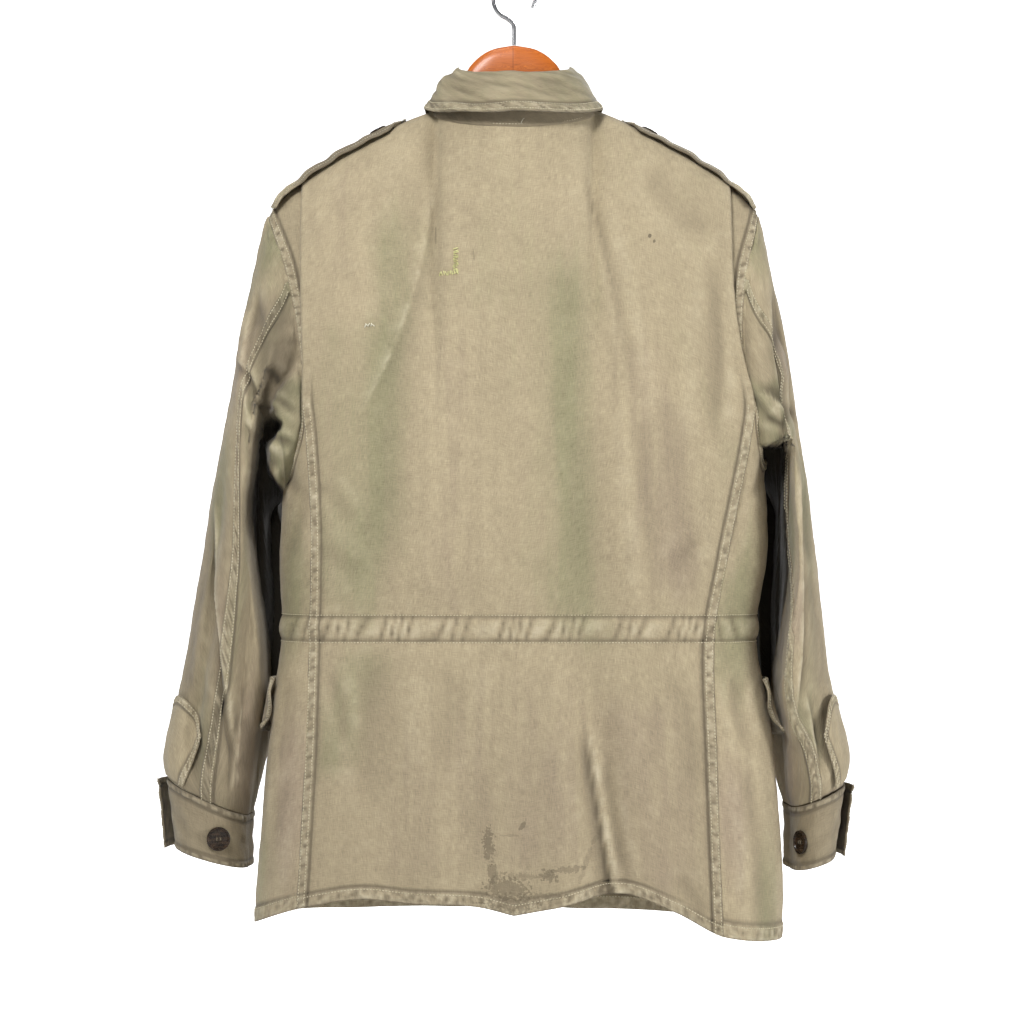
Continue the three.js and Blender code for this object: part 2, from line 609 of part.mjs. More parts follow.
// The collar's fall turns over the fold line and spreads to its lower edge.
function fallPoint(around, v) {
  const stand = standPoint(around, 1);
  const out = vec(stand.x * 1.2, stand.y, 0).normalize();
  const toFront = smooth(Math.abs(around), 0.55, 1);
  const length = lerp(40, 52, toFront);
  const spread = lerp(27, 30, toFront);
  const fold = stand.clone().add(vec(0, 0, 1.2)).addScaledVector(out, 0.6);
  const edge = stand.clone().addScaledVector(out, spread).add(vec(0, 0, -length + 1));
  edge.x *= 1.02;
  const over = fold.clone().addScaledVector(out, 6).add(vec(0, 0, 1.5));
  return vec(
    bezier(fold.x, over.x, lerp(over.x, edge.x, 0.6), edge.x, v),
    bezier(fold.y, over.y, lerp(over.y, edge.y, 0.6), edge.y, v),
    bezier(fold.z, over.z, lerp(over.z, edge.z, 0.6), edge.z, v),
  );
}

// The surface's unit normal, on the same side as the reference direction.
function normalAt(surface, u, v, outward, step) {
  const alongU = surface(u + step.u, v).sub(surface(u - step.u, v));
  const alongV = surface(u, v + step.v).sub(surface(u, v - step.v));
  const normal = alongU.cross(alongV).normalize();
  return normal.dot(outward(surface(u, v))) < 0 ? normal.negate() : normal;
}

// Triangles between two neighbouring rows, whose points are sorted by u.
function stitch(faces, low, high) {
  let i = 0;
  let j = 0;
  while (i < low.length - 1 || j < high.length - 1) {
    const nextLow = i < low.length - 1 ? low[i + 1].u : Infinity;
    const nextHigh = j < high.length - 1 ? high[j + 1].u : Infinity;
    if (nextLow <= nextHigh) faces.push([low[i], low[++i], high[j]]);
    else faces.push([low[i], high[j + 1], high[j++]]);
  }
}

// A wall of cloth about surface(u, v). columnsOf(v) gives a row's columns, and denseOf(v) its outer face's.
function wall(surface, columnsOf, rows, options) {
  const { outward, thickness = CLOTH, relief = () => 0, denseOf = columnsOf } = options;
  const { uStep = 0.004, vStep = 0.004 } = options;
  const face = (outer) =>
    rows.map((v) =>
      (outer ? denseOf : columnsOf)(v).map((u) => {
        const normal = normalAt(surface, u, v, outward, { u: uStep, v: vStep });
        const lift = outer ? thickness / 2 + relief(u, v) : -thickness / 2;
        return { u, at: surface(u, v).addScaledVector(normal, lift) };
      }),
    );
  const outside = face(true);
  const inside = face(false);
  const faces = [];
  for (let i = 0; i < rows.length - 1; i++) {
    stitch(faces, outside[i], outside[i + 1]);
    const under = [];
    stitch(under, inside[i], inside[i + 1]);
    for (const [a, b, c] of under) faces.push([a, c, b]);
    for (const [edge, turned] of [[0, false], [-1, true]]) {
      const quad = [inside[i].at(edge), outside[i].at(edge), outside[i + 1].at(edge), inside[i + 1].at(edge)];
      if (turned) quad.reverse();
      faces.push([quad[0], quad[1], quad[2]], [quad[0], quad[2], quad[3]]);
    }
  }
  stitch(faces, inside[0], outside[0]);
  stitch(faces, outside.at(-1), inside.at(-1));
  return closedGeometry(faces);
}

// A geometry of the given triangles, turned to face outwards.
function closedGeometry(faces) {
  const positions = [];
  let volume = 0;
  for (const [a, b, c] of faces) volume += a.at.dot(b.at.clone().cross(c.at));
  for (const [a, b, c] of faces)
    for (const corner of volume > 0 ? [a, b, c] : [a, c, b]) positions.push(...corner.at.toArray());
  const geometry = new THREE.BufferGeometry();
  geometry.setAttribute("position", new THREE.Float32BufferAttribute(positions, 3));
  geometry.computeVertexNormals();
  return geometry;
}

const jacket = new THREE.Group();
function add(name, geometry, material) {
  const mesh = new THREE.Mesh(geometry, material);
  mesh.name = name;
  jacket.add(mesh);
  return mesh;
}

const spread = (from, to, count) => Array.from({ length: count + 1 }, (_, i) => lerp(from, to, i / count));
const fromAxis = (p) => vec(p.x, p.y, 0);

// Rows of the body panels: the waist channel has its own close rows
const LOWER_LEVELS = [-905, -886, -850, -800, -750, -705, -668, CHANNEL_LOW];
const CHANNEL_ROWS = 4;
const channelLevels = spread(CHANNEL_LOW, CHANNEL_HIGH, CHANNEL_ROWS);
const bodyRows = [
  ...LOWER_LEVELS.slice(0, -1).map(riseOf),
  ...channelLevels.map(riseOf),
  ...[-575, -540].map(riseOf),
  ...[1, 1.12, 1.25, 1.38, 1.5, 1.62, 1.74, 1.84, 1.93, 2],
];
const inChannel = (rise) => {
  const level = levelOf(rise);
  return level > CHANNEL_LOW + 1 && level < CHANNEL_HIGH - 1;
};

// The channel's puff, drawn in where the cord gathers it.
function channelRelief(phase, rise) {
  const level = levelOf(rise);
  const share = (level - CHANNEL_LOW) / (CHANNEL_HIGH - CHANNEL_LOW);
  if (rise > 1 || share <= 0 || share >= 1) return 0;
  const slanted = phase + 0.5 * share + 0.3 * Math.sin(phase * 1.7);
  return CHANNEL_PUFF * Math.sin(Math.PI * share) * (0.35 + 0.65 * Math.abs(Math.sin(Math.PI * slanted)));
}

// Back
function backColumns() {
  const fell = FELL_WIDTH / BACK_HALF;
  return [-1, -1 + fell, -1 + fell * 1.2, ...spread(-0.88, 0.88, 18), 1 - fell * 1.2, 1 - fell, 1];
}
// The side seams' felled edges, which end where the pleats begin
const backFell = (across, rise) =>
  Math.abs(across) > 1 - (FELL_WIDTH * 1.05) / BACK_HALF ? FELL_RISE * (1 - smooth(rise, 1.22, 1.4)) : 0;
add(
  "back",
  wall(backPoint, backColumns, bodyRows, {
    outward: fromAxis,
    relief: (across, rise) => channelRelief(across * (BACK_GATHERS / 2), rise) + backFell(across, rise),
    denseOf: (rise) => (inChannel(rise) ? spread(-1, 1, BACK_GATHERS * 4) : backColumns()),
  }),
  MATERIALS.cloth,
);

// Fronts, each from its side seam behind to the middle of the front
const frontSeamShare = SEAM_GAP / FRONT_WIDTH;
const frontEdgeShare = (side) => 1 - (side.sign * FRONT_EDGE_X + SEAM_GAP) / FRONT_WIDTH;
function frontColumns(side) {
  return [
    ...spread(frontSeamShare, 0.16, 4),
    ...spread(0.2, FRONT_TIP, 7),
    ...spread(0.56, FRONT_NECK, 4),
    ...spread(0.85, frontEdgeShare(side), 5),
  ];
}
for (const side of SIDES) {
  const surface = (across, rise) => frontPoint(side, across, rise);
  add(
    `front_${side.name}`,
    wall(surface, () => frontColumns(side), bodyRows, {
      outward: fromAxis,
      relief: (across, rise) => channelRelief(across * FRONT_GATHERS, rise) * (1 - smooth(across, 0.89, 0.925)),
      denseOf: (rise) =>
        inChannel(rise) ? spread(frontSeamShare, frontEdgeShare(side), FRONT_GATHERS * 4) : frontColumns(side),
    }),
    MATERIALS.cloth,
  );
}

// Under layers of the back pleats
for (const side of SIDES) {
  add(
    `pleat_under_${side.name}`,
    wall((across, rise) => pleatPoint(side, across, rise), () => spread(0, 1, 4), spread(0.02, 0.985, 10), {
      outward: () => vec(0, 1, 0.2),
    }),
    MATERIALS.cloth,
  );
}

// Sleeves, each an upper and an under piece between two long seams
const SLEEVE_ROWS = [0, 0.03, 0.07, 0.12, 0.18, 0.25, 0.33, 0.42, 0.51, 0.6, 0.69, 0.78, 0.86, 0.93, 1];
const SLEEVE_COLUMNS = 12;
const SLEEVE_TOP_Z = -227;
const SLEEVE_DROP = 570;
const SEAM_TURN_GAP = 0.6; // in degrees, on each side of a long seam
// From the sleeve's own middle at a point's height to that point
function fromSleeve(side, p) {
  const rows = SLEEVES[side.name];
  const middle = rows[Math.round(clamp((SLEEVE_TOP_Z - p.z) / SLEEVE_DROP, 0, 1) * (rows.length - 1))];
  return p.clone().sub(vec((side.sign * (middle.xOuter + middle.xInner)) / 2, middle.y, p.z));
}
for (const side of SIDES)
  for (const [part, from, to] of [
    ["upper", FRONT_SEAM_TURN, BACK_SEAM_TURN],
    ["under", BACK_SEAM_TURN, FRONT_SEAM_TURN],
  ]) {
    const surface = (share, v) => {
      const start = seamTurn(from, v) - (part === "upper" ? 360 : 0) + SEAM_TURN_GAP;
      const end = seamTurn(to, v) - SEAM_TURN_GAP;
      return sleevePoint(side, lerp(start, end, share), v);
    };
    add(
      `sleeve_${part}_${side.name}`,
      wall(surface, () => spread(0, 1, SLEEVE_COLUMNS), SLEEVE_ROWS, { outward: (p) => fromSleeve(side, p) }),
      MATERIALS.cloth,
    );
  }

// Cuffs
const cuffCentre = (side) => {
  const end = CUFF_END[side.name];
  return vec((side.sign * (end.xOuter + end.xInner)) / 2, end.y, 0);
};
const fromCuff = (side) => (p) => vec(p.x, p.y, 0).sub(cuffCentre(side));
for (const side of SIDES) {
  add(
    `cuff_${side.name}`,
    wall((turn, v) => cuffPoint(side, turn, v), () => spread(CUFF.start, CUFF.end, 30), [0, 0.5, 1], {
      outward: fromCuff(side),
      thickness: CUFF.thickness,
      uStep: 1,
    }),
    MATERIALS.cloth,
  );
}

// Vent pieces behind the cuffs' openings
for (const side of SIDES) {
  const surface = (across, v) => {
    const turn = lerp(VENT.from, VENT.to, across) + VENT.lean * (1 - v);
    const top = VENT.top + VENT.arch * (2 * across - 1) ** 2;
    const at = lerp(top, 0.985, v);
    const p = sleevePoint(side, turn, at);
    const row = sleeveRow(side, at);
    const out = p.clone().sub(vec((side.sign * (row.xOuter + row.xInner)) / 2, row.y, p.z)).normalize();
    const puff = VENT.puff * Math.sin(Math.PI * across) * Math.sin(Math.PI * clamp(v, 0, 1));
    return p.addScaledVector(out, VENT.offset + puff);
  };
  add(
    `sleeve_vent_${side.name}`,
    wall(surface, () => spread(0, 1, 7), spread(0, 1, 5), { outward: fromCuff(side) }),
    MATERIALS.cloth,
  );
}

// Collar
const collarColumns = spread(-1, 1, 28);
add(
  "collar_stand",
  wall(standPoint, () => collarColumns, [0, 0.5, 1], { outward: fromAxis }),
  MATERIALS.cloth,
);
add(
  "collar_fall",
  wall(fallPoint, () => collarColumns, [0.08, 0.3, 0.65, 1], { outward: fromAxis, thickness: 2.2 }),
  MATERIALS.cloth,
);

// The front overlap, which covers the meeting of the two fronts
function placketPoint(across, rise) {
  const x = across < 0 ? across * PLACKET.right : across * PLACKET.left;
  const ring = lerp(PLACKET.ringLow, PLACKET.ringTop, smooth(rise, 1, 2));
  const side = SIDES[x < 0 ? 1 : 0];
  return frontPoint(side, 1 - Math.abs(x) / ring, rise).add(vec(0, -PLACKET.lift, 0));
}
const placketRows = [-904, -850, -750, -668, CHANNEL_LOW, CHANNEL_LOW + 11, CHANNEL_HIGH, -540].map(riseOf);
add(
  "front_overlap",
  wall(placketPoint, () => spread(-1, 1, 4), [...placketRows, ...spread(1, 1.97, 7)], {
    outward: () => vec(0, -1, 0),
    thickness: PLACKET.thickness,
    uStep: 0.02,
  }),
  MATERIALS.cloth,
);

// Shoulder straps, laid over the shoulder seams
function strapPoint(side, across, along) {
  const x = lerp(STRAP.outer, STRAP.inner, along);
  const narrowed = clamp((x - STRAP.inner + 2) / STRAP.point, 0.08, 1);
  const off = across * STRAP.half * narrowed;
  const slope = (shoulderZ(x + 1) - shoulderZ(x - 1)) / 2;
  const up = vec(-slope * side.sign, 0, 1).normalize();
  const sag = off ** 2 / STRAP.saddle;
  const tilt = STRAP.tilt[side.name] * off;
  const curl = STRAP.curl * smooth(along, 0.82, 1) ** 2;
  const p = vec(side.sign * x, SHOULDER_Y + STRAP.forward + off, shoulderZ(x));
  return p.addScaledVector(up, STRAP.lift[side.name] + curl - sag + tilt);
}
for (const side of SIDES) {
  add(
    `shoulder_strap_${side.name}`,
    wall((across, along) => strapPoint(side, across, along), () => spread(-1, 1, 6), spread(0, 1, 8), {
      outward: () => vec(side.sign * 0.3, 0, 1),
      thickness: STRAP.thickness,
    }),
    MATERIALS.cloth,
  );
}

// Hip pocket flaps, standing off the fronts
function flapPoint(side, across, v) {
  const share = lerp(FLAP.rear, FLAP.front, across);
  const drop = FLAP.height * (1 - FLAP.rounding * (2 * across - 1) ** 2 * v);
  const level = FLAP.top - drop * v;
  const p = skirtPoint(side, share, level);
  const ends = 1 + 0.7 * (1 - smooth(across, 0, 0.3));
  const out = vec(p.x * 0.8, p.y, 0).normalize();
  return p.addScaledVector(out, FLAP.lift + FLAP.flare[side.name] * v * v * ends);
}
for (const side of SIDES) {
  add(
    `hip_flap_${side.name}`,
    wall((across, v) => flapPoint(side, across, v), () => spread(0, 1, 9), [0, 0.35, 0.7, 1], {
      outward: fromAxis,
      thickness: FLAP.thickness,
    }),
    MATERIALS.cloth,
  );
}

// Buttons: a dished disc with four holes
const wasm = await Module();
wasm.setup();

function solidOf(geometry) {
  const bare = new THREE.BufferGeometry().setAttribute("position", geometry.getAttribute("position"));
  if (geometry.index) bare.setIndex(geometry.index);
  const merged = mergeVertices(bare, 1e-4);
  const vertProperties = merged.getAttribute("position").array;
  return new wasm.Manifold(new wasm.Mesh({ numProp: 3, vertProperties, triVerts: merged.index.array }));
}

function buttonSolid(size) {
  const { radius, rim, height, dish } = size;
  const profile = [
    [0, 0],
    [radius - 1.4, 0],
    [radius, 1],
    [radius - 0.4, height],
    [radius - rim, height],
    [radius - rim - 1.2, height - dish],
    [0, height - dish],
  ].map(([x, y]) => new THREE.Vector2(x, y));
  let button = solidOf(new THREE.LatheGeometry(profile, BUTTON_SIDES).rotateX(Math.PI / 2));
  for (const turn of [45, 135, 225, 315]) {
    const hole = new THREE.CylinderGeometry(HOLE.radius, HOLE.radius, height * 3, HOLE.sides);
    hole.rotateX(Math.PI / 2);
    hole.translate(HOLE.out * Math.cos(radians(turn)), HOLE.out * Math.sin(radians(turn)), 0);
    button = button.subtract(solidOf(hole));
  }
  return button;
}

function geometryOf(solid) {
  const made = solid.getMesh();
  const geometry = new THREE.BufferGeometry();
  geometry.setAttribute("position", new THREE.Float32BufferAttribute(made.vertProperties, 3));
  geometry.setIndex(new THREE.BufferAttribute(made.triVerts, 1));
  geometry.computeVertexNormals();
  return geometry;
}
const buttonGeometry = geometryOf(buttonSolid(BUTTON));
const strapButtonGeometry = geometryOf(buttonSolid(STRAP_BUTTON));

// A button on a surface: its back lies clear of the cloth, its axis along the surface's normal.
function addButton(name, geometry, surface, u, v, outward, stand, step) {
  const normal = normalAt(surface, u, v, outward, step);
  const mesh = add(name, geometry, MATERIALS.button);
  mesh.position.copy(surface(u, v)).addScaledVector(normal, stand);
  mesh.quaternion.setFromUnitVectors(vec(0, 0, 1), normal);
}
const fineStep = { u: 0.02, v: 0.02 };
const cuffStand = CUFF.thickness / 2 + BUTTON_CLEAR;
const frontStand = PLACKET.thickness / 2 + BOWED_CLEAR;
const strapStand = STRAP.thickness / 2 + BOWED_CLEAR;
for (const side of SIDES) {
  const surface = (turn, v) => cuffPoint(side, turn, v);
  const step = { u: 4, v: 0.05 };
  for (const [label, turn] of Object.entries(CUFF_BUTTONS[side.name]))
    addButton(
      `cuff_button_${label}_${side.name}`, buttonGeometry, surface, turn, 0.56, fromCuff(side), cuffStand, step,
    );
}
FRONT_BUTTONS.forEach((rise, i) => {
  const outward = () => vec(0, -1, 0);
  addButton(`front_button_${i + 1}`, buttonGeometry, placketPoint, 0, rise, outward, frontStand, fineStep);
});
for (const side of SIDES) {
  const strap = (across, along) => strapPoint(side, across, along);
  const upward = () => vec(0, 0, 1);
  addButton(`strap_button_${side.name}`, strapButtonGeometry, strap, 0, 0.8, upward, strapStand, fineStep);
}

// Hanger: flat-faced wood, as upright rings along its length
function hangerRing(x) {
  const at = Math.abs(x);
  const clear = lerp(HANGER_CLEAR.inner, HANGER_CLEAR.outer, smooth(at, 158, 178));
  const top = at < HANGER_TOP.at(-1).x ? read(HANGER_TOP, "x", at, "top") : shoulderZ(at) - clear;
  const bottom = read(HANGER_BOTTOM, "x", at, "bottom");
  const half = read(HANGER_BOTTOM, "x", at, "half");
  return spread(0, 360, HANGER_SIDES)
    .slice(0, -1)
    .map((turn) => {
      const y = SHOULDER_Y + half * power(Math.cos(radians(turn)), 0.8);
      const z = (top + bottom) / 2 + ((top - bottom) / 2) * power(Math.sin(radians(turn)), 0.8);
      return { at: vec(x, y, z) };
    });
}
function ringLoft(rings) {
  const faces = [];
  const count = rings[0].length;
  for (let i = 0; i < rings.length - 1; i++)
    for (let j = 0; j < count; j++) {
      const k = (j + 1) % count;
      faces.push([rings[i][j], rings[i][k], rings[i + 1][k]], [rings[i][j], rings[i + 1][k], rings[i + 1][j]]);
    }
  for (let j = 1; j < count - 1; j++) {
    faces.push([rings[0][0], rings[0][j + 1], rings[0][j]]);
    faces.push([rings.at(-1)[0], rings.at(-1)[j], rings.at(-1)[j + 1]]);
  }
  return closedGeometry(faces);
}
const halfStations = [12, 24, 34, 42, 48, 53, 58, 66, 86, 112, 140, 168, 192, 206, 211];
const hangerStations = [...halfStations.map((x) => -x).reverse(), 0, ...halfStations];
add("hanger", ringLoft(hangerStations.map(hangerRing)), MATERIALS.wood);

// The hook's wire: up from the crown, round to one side and over the top to its tip
const hookTurn = HOOK.radius + HOOK.wire;
const hookPoints = [
  ...[HANGER_TOP[0].top + HOOK.clear, -56, -50, -45.5].map((z) => vec(0, SHOULDER_Y, z)),
  vec(1.4, SHOULDER_Y, -41.4),
  ...spread(-70, 205, 14).map((turn) => {
    const angle = radians(turn);
    return vec(hookTurn * Math.cos(angle), SHOULDER_Y, -HOOK.radius + hookTurn * Math.sin(angle));
  }),
];
const wireSection = new THREE.Shape().absarc(0, 0, HOOK.wire, 0, 2 * Math.PI);
add(
  "hanger_hook",
  new THREE.ExtrudeGeometry(wireSection, {
    steps: HOOK.steps,
    curveSegments: HOOK.sides,
    extrudePath: new THREE.CatmullRomCurve3(hookPoints),
  }),
  MATERIALS.steel,
);

export default jacket;
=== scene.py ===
# %% [markdown]
# # A field jacket on a wooden hanger
# The real thing is a cotton sateen field jacket, faded by washing and wear, that hangs from a varnished
# wooden hanger. We see its back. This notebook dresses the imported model: every cloth solid gets a thin
# shell with its folds, felled seams and gathers, then stitches, buttons, darns and stains, each with a
# procedural material. Lengths are worked out in millimetres, as a tailor would, and turned into Blender's
# metres when a mesh is made.

# %% Load the frame
import math

import bpy
import numpy as np
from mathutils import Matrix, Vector


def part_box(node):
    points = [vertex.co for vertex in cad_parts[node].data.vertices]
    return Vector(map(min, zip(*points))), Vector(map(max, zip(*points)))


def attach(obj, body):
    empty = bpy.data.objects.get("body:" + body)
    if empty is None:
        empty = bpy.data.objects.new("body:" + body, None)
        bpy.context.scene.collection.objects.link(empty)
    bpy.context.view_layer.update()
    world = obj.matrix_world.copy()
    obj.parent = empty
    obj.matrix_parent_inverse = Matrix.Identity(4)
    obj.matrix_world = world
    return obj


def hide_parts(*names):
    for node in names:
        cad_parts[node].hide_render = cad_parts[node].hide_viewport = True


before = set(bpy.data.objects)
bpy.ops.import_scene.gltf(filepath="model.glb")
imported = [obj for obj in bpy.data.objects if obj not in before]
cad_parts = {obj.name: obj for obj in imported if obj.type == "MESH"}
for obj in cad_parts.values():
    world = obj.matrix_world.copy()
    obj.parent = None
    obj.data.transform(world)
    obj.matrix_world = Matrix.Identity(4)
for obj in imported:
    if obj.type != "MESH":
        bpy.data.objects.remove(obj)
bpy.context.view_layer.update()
MM = 0.001

# %% [markdown]
# ## The camera
# The photograph was taken from behind, level with the jacket's middle and from about three metres away. A
# long lens at that distance keeps the small perspective of the photo: the sleeves' far edges look a little
# smaller.

# %% Camera
LENS = 109.9  # millimetres
CAMERA_PLACE = (0.002, 3.0, -0.5094)  # metres
camera_data = bpy.data.cameras.new("camera")
camera_data.lens = LENS
camera_data.clip_end = 20
camera = bpy.data.objects.new("camera", camera_data)
camera.location = CAMERA_PLACE
camera.rotation_euler = (math.pi / 2, 0, math.pi)
bpy.context.collection.objects.link(camera)
bpy.context.scene.camera = camera

# %% [markdown]
# ## The studio
# The jacket was shot against white with broad soft light. A pale floor and wall glow a little, as a
# lightbox does, so they read as white. The main light is near the camera, high and to the left, so that the
# cloth darkens where it turns away, and weaker ones graze the back from both sides and bring out the folds.
# One more stands before the jacket, for views from the front. The Standard view keeps khaki as khaki: the
# filmic view would grey it.

# %% Floor, wall and lights
def new_material(name):
    """A new material and its Principled shader."""
    material = bpy.data.materials.new(name)
    material.use_nodes = True
    return material, material.node_tree.nodes["Principled BSDF"]


def plain_material(name, colour, roughness):
    material, shader = new_material(name)
    shader.inputs["Base Color"].default_value = (*colour, 1)
    shader.inputs["Roughness"].default_value = roughness
    return material


bpy.context.scene.view_settings.view_transform = "Standard"


def backdrop(name, corners):
    mesh = bpy.data.meshes.new(name)
    mesh.from_pydata(corners, [], [(0, 1, 2, 3)])
    mesh.materials.append(studio_white)
    plane = bpy.data.objects.new(name, mesh)
    bpy.context.collection.objects.link(plane)


studio_white = plain_material("studio_white", (0.9, 0.9, 0.9), 0.9)
studio_shader = studio_white.node_tree.nodes["Principled BSDF"]
studio_shader.inputs["Emission Color"].default_value = (1, 1, 1, 1)
studio_ray = studio_white.node_tree.nodes.new("ShaderNodeLightPath")
studio_white.node_tree.links.new(studio_ray.outputs["Is Camera Ray"],
                                 studio_shader.inputs["Emission Strength"])
FLOOR_Z = -1.02
WALL_Y = -4.5
backdrop("floor", [(-4, WALL_Y, FLOOR_Z), (4, WALL_Y, FLOOR_Z), (4, 4.5, FLOOR_Z), (-4, 4.5, FLOOR_Z)])
backdrop("wall", [(-4, WALL_Y, FLOOR_Z), (-4, WALL_Y, 2.5), (4, WALL_Y, 2.5), (4, WALL_Y, FLOOR_Z)])

LIGHTS = [
    # name, place, aim, size, watts
    ("key", (0.65, 1.9, 1.15), (0, 0, -0.4), 0.6, 47),
    ("grazing", (2.3, 0.9, 0.5), (0, 0, -0.3), 0.5, 7),
    ("right_side", (-2.2, 1.3, -0.5), (0, 0, -0.6), 0.7, 31),
    ("top", (0.2, 0.5, 1.6), (0, 0, -0.4), 0.8, 8),
    ("front", (-0.9, -2.6, 1.0), (0, 0, -0.5), 0.8, 55),
]
for name, place, aim, size, watts in LIGHTS:
    light = bpy.data.lights.new(name, "AREA")
    light.energy = watts
    light.size = size
    lamp = bpy.data.objects.new(name, light)
    lamp.location = place
    lamp.rotation_euler = (Vector(place) - Vector(aim)).to_track_quat("Z", "Y").to_euler()
    bpy.context.collection.objects.link(lamp)
world = bpy.data.worlds.new("studio")
world.use_nodes = True
world.node_tree.nodes["Background"].inputs["Color"].default_value = (0.95, 0.97, 1, 1)
world.node_tree.nodes["Background"].inputs["Strength"].default_value = 0.2
bpy.context.scene.world = world

# %% [markdown]
# ## Sizes of the jacket's form
# A jacket on a hanger is a soft tube. We describe it as a tailor measures it: half widths and depths at
# some heights, the shoulder line, the armholes and the sleeves. These are the same named sizes that the
# solids were built from, so each shell lies in the middle of its solid's wall.

# %% Tables of the body
def columns(names, *rows):
    return {name: np.array([row[i] for row in rows], float) for i, name in enumerate(names.split())}


HEM_LEVEL, CHEST_LEVEL, HEM_FADE_LEVEL = -905, -505, -655
CHANNEL_LOW, CHANNEL_HIGH = -631, -608
NECK_HALF_WIDTH, NECK_BACK_DEPTH, NECK_FRONT_DEPTH = 74, 56, 66
NECK_SIDE_Z, NECK_BACK_DROP, NECK_FRONT_DROP = -125, 17, 78
COLLAR_HEIGHT = 48
BACK_CROWN = 5
SHOULDER_Y = 4
SIGN = {"left": 1, "right": -1}

BODY = columns(
    "z left right back front side",
    (-905, 249, 257, 80, 84, 78),
    (-870, 247, 258, 79, 82, 76),
    (-800, 241, 254, 75, 78, 74),
    (-740, 236, 248, 70, 73, 70),
    (-690, 231, 241, 66, 69, 66),
    (-650, 225, 234, 61, 64, 62),
    (-620, 222, 232, 58, 61, 60),
    (-590, 223, 236, 62, 64, 62),
    (-550, 224, 242, 68, 70, 66),
    (-505, 222, 242, 72, 75, 70),
)
BACK_EDGE = columns(
    "z left right",
    (-910, 205, 195),
    (-740, 196, 190),
    (-630, 193, 188),
    (-560, 191, 199),
    (-505, 191, 209),
    (-440, 195, 222),
    (-405, 199, 226),
    (-365, 200, 217),
    (-325, 201, 210),
    (-285, 202, 207),
    (-180, 203, 206),
)
HEM = columns(
    "share left right",
    (0, -887, -887),
    (0.06, -879, -880),
    (0.17, -876, -867),
    (0.25, -872, -884),
    (0.33, -879, -908),
    (0.48, -901, -915),
    (0.62, -899, -906),
    (1, -897, -897),
)
SHOULDER = columns(
    "x z", (60, -119), (74, -124.5), (104, -136), (152, -160), (196, -187), (222, -208), (236, -228)
)
ARMHOLES = {
    "left": columns(
        "turn x y z pull_y pull_z",
        (0, 235, 4, -227, -34, -8),
        (20, 228, 22, -247, 0, -20),
        (40, 216, 36, -284, 0, -30),
        (75, 204, 47, -345, 0, -30),
        (110, 200, 53, -407, 0, -22),
        (145, 211, 38, -452, 0, -14),
        (180, 223, 2, -477, 0, -9),
        (220, 214, -42, -442, 0, -20),
        (270, 203, -62, -372, -2, -34),
        (320, 213, -47, -288, -8, -34),
        (342, 225, -24, -246, -20, -26),
        (360, 235, 4, -227, -34, -8),
    ),
    "right": columns(
        "turn x y z pull_y pull_z",
        (0, 233, 4, -226, -34, -8),
        (20, 229, 22, -246, 0, -20),
        (40, 221, 36, -282, 0, -30),
        (75, 216, 46, -343, 0, -30),
        (110, 227, 49, -405, 0, -22),
        (145, 236, 34, -440, 0, -14),
        (180, 243, 2, -462, 0, -9),
        (220, 232, -40, -430, 0, -20),
        (270, 213, -60, -366, -2, -34),
        (320, 215, -46, -286, -8, -34),
        (342, 225, -24, -245, -20, -26),
        (360, 233, 4, -226, -34, -8),
    ),
}
JUNCTION_TURN = 110
PLEAT_UNDER, PLEAT_LAYER = 26, 3.8
FRONT_TIP, FRONT_NECK = 0.5, 0.82

# %% Tables of the sleeves and the large folds
SLEEVES = {
    "left": columns(
        "v x_outer z_outer x_inner z_inner y depth",
        (0, 237, -227, 225, -478, -4, 54),
        (0.07, 247, -264, 231, -490, -5, 66),
        (0.16, 257, -315, 238, -507, -7, 74),
        (0.3, 272, -400, 236, -545, -10, 78),
        (0.46, 290, -497, 233, -600, -12, 78),
        (0.63, 306, -594, 236, -660, -14, 75),
        (0.79, 322, -681, 244, -722, -16, 68),
        (0.92, 334, -742, 252, -778, -18, 58),
        (1, 333, -764, 256, -800, -18, 50),
    ),
    "right": columns(
        "v x_outer z_outer x_inner z_inner y depth",
        (0, 235, -226, 245, -463, -4, 54),
        (0.07, 243, -262, 251, -480, -5, 66),
        (0.16, 252, -306, 255, -500, -8, 74),
        (0.3, 268, -398, 253, -545, -12, 80),
        (0.46, 281, -485, 250, -600, -15, 82),
        (0.63, 294, -592, 250, -660, -18, 80),
        (0.79, 306, -680, 259, -722, -20, 74),
        (0.92, 320, -742, 263, -775, -22, 63),
        (1, 317, -770, 267, -792, -22, 56),
    ),
}
SLEEVE_OFFSET = 1.9
SLEEVE_BULGE = 2.2
SLEEVE_TUCK = 36
BACK_SEAM_TURN = (44, 86)
FRONT_SEAM_TURN = (285, 262)
SLEEVE_FOLDS = {
    "left": [(52, 18, 0.34, 0.98, 13, 13), (108, 22, 0.12, 0.9, 15, 15), (250, 0, 0.2, 0.85, 16, 12),
             (312, -6, 0.3, 0.9, 16, 8)],
    "right": [(34, 4, 0.04, 0.46, 12, 9), (112, 16, 0.14, 0.86, 16, 14), (250, 0, 0.2, 0.85, 16, 12)],
}  # turn, drift, from, to, width, depth
BACK_FOLDS = [
    # x at its lower end, x at its upper end, from, to, width, depth
    (148, 112, -640, -190, 30, 7),
    (92, 74, -612, -330, 24, -4),
    (-60, -50, -640, -240, 28, 7),
    (-112, -92, -640, -380, 24, -5),
    (-92, -68, -915, -618, 22, 11),
    (-52, -44, -915, -660, 24, -6),
    (122, 126, -915, -620, 28, 6),
    (40, 48, -915, -640, 26, 4),
]
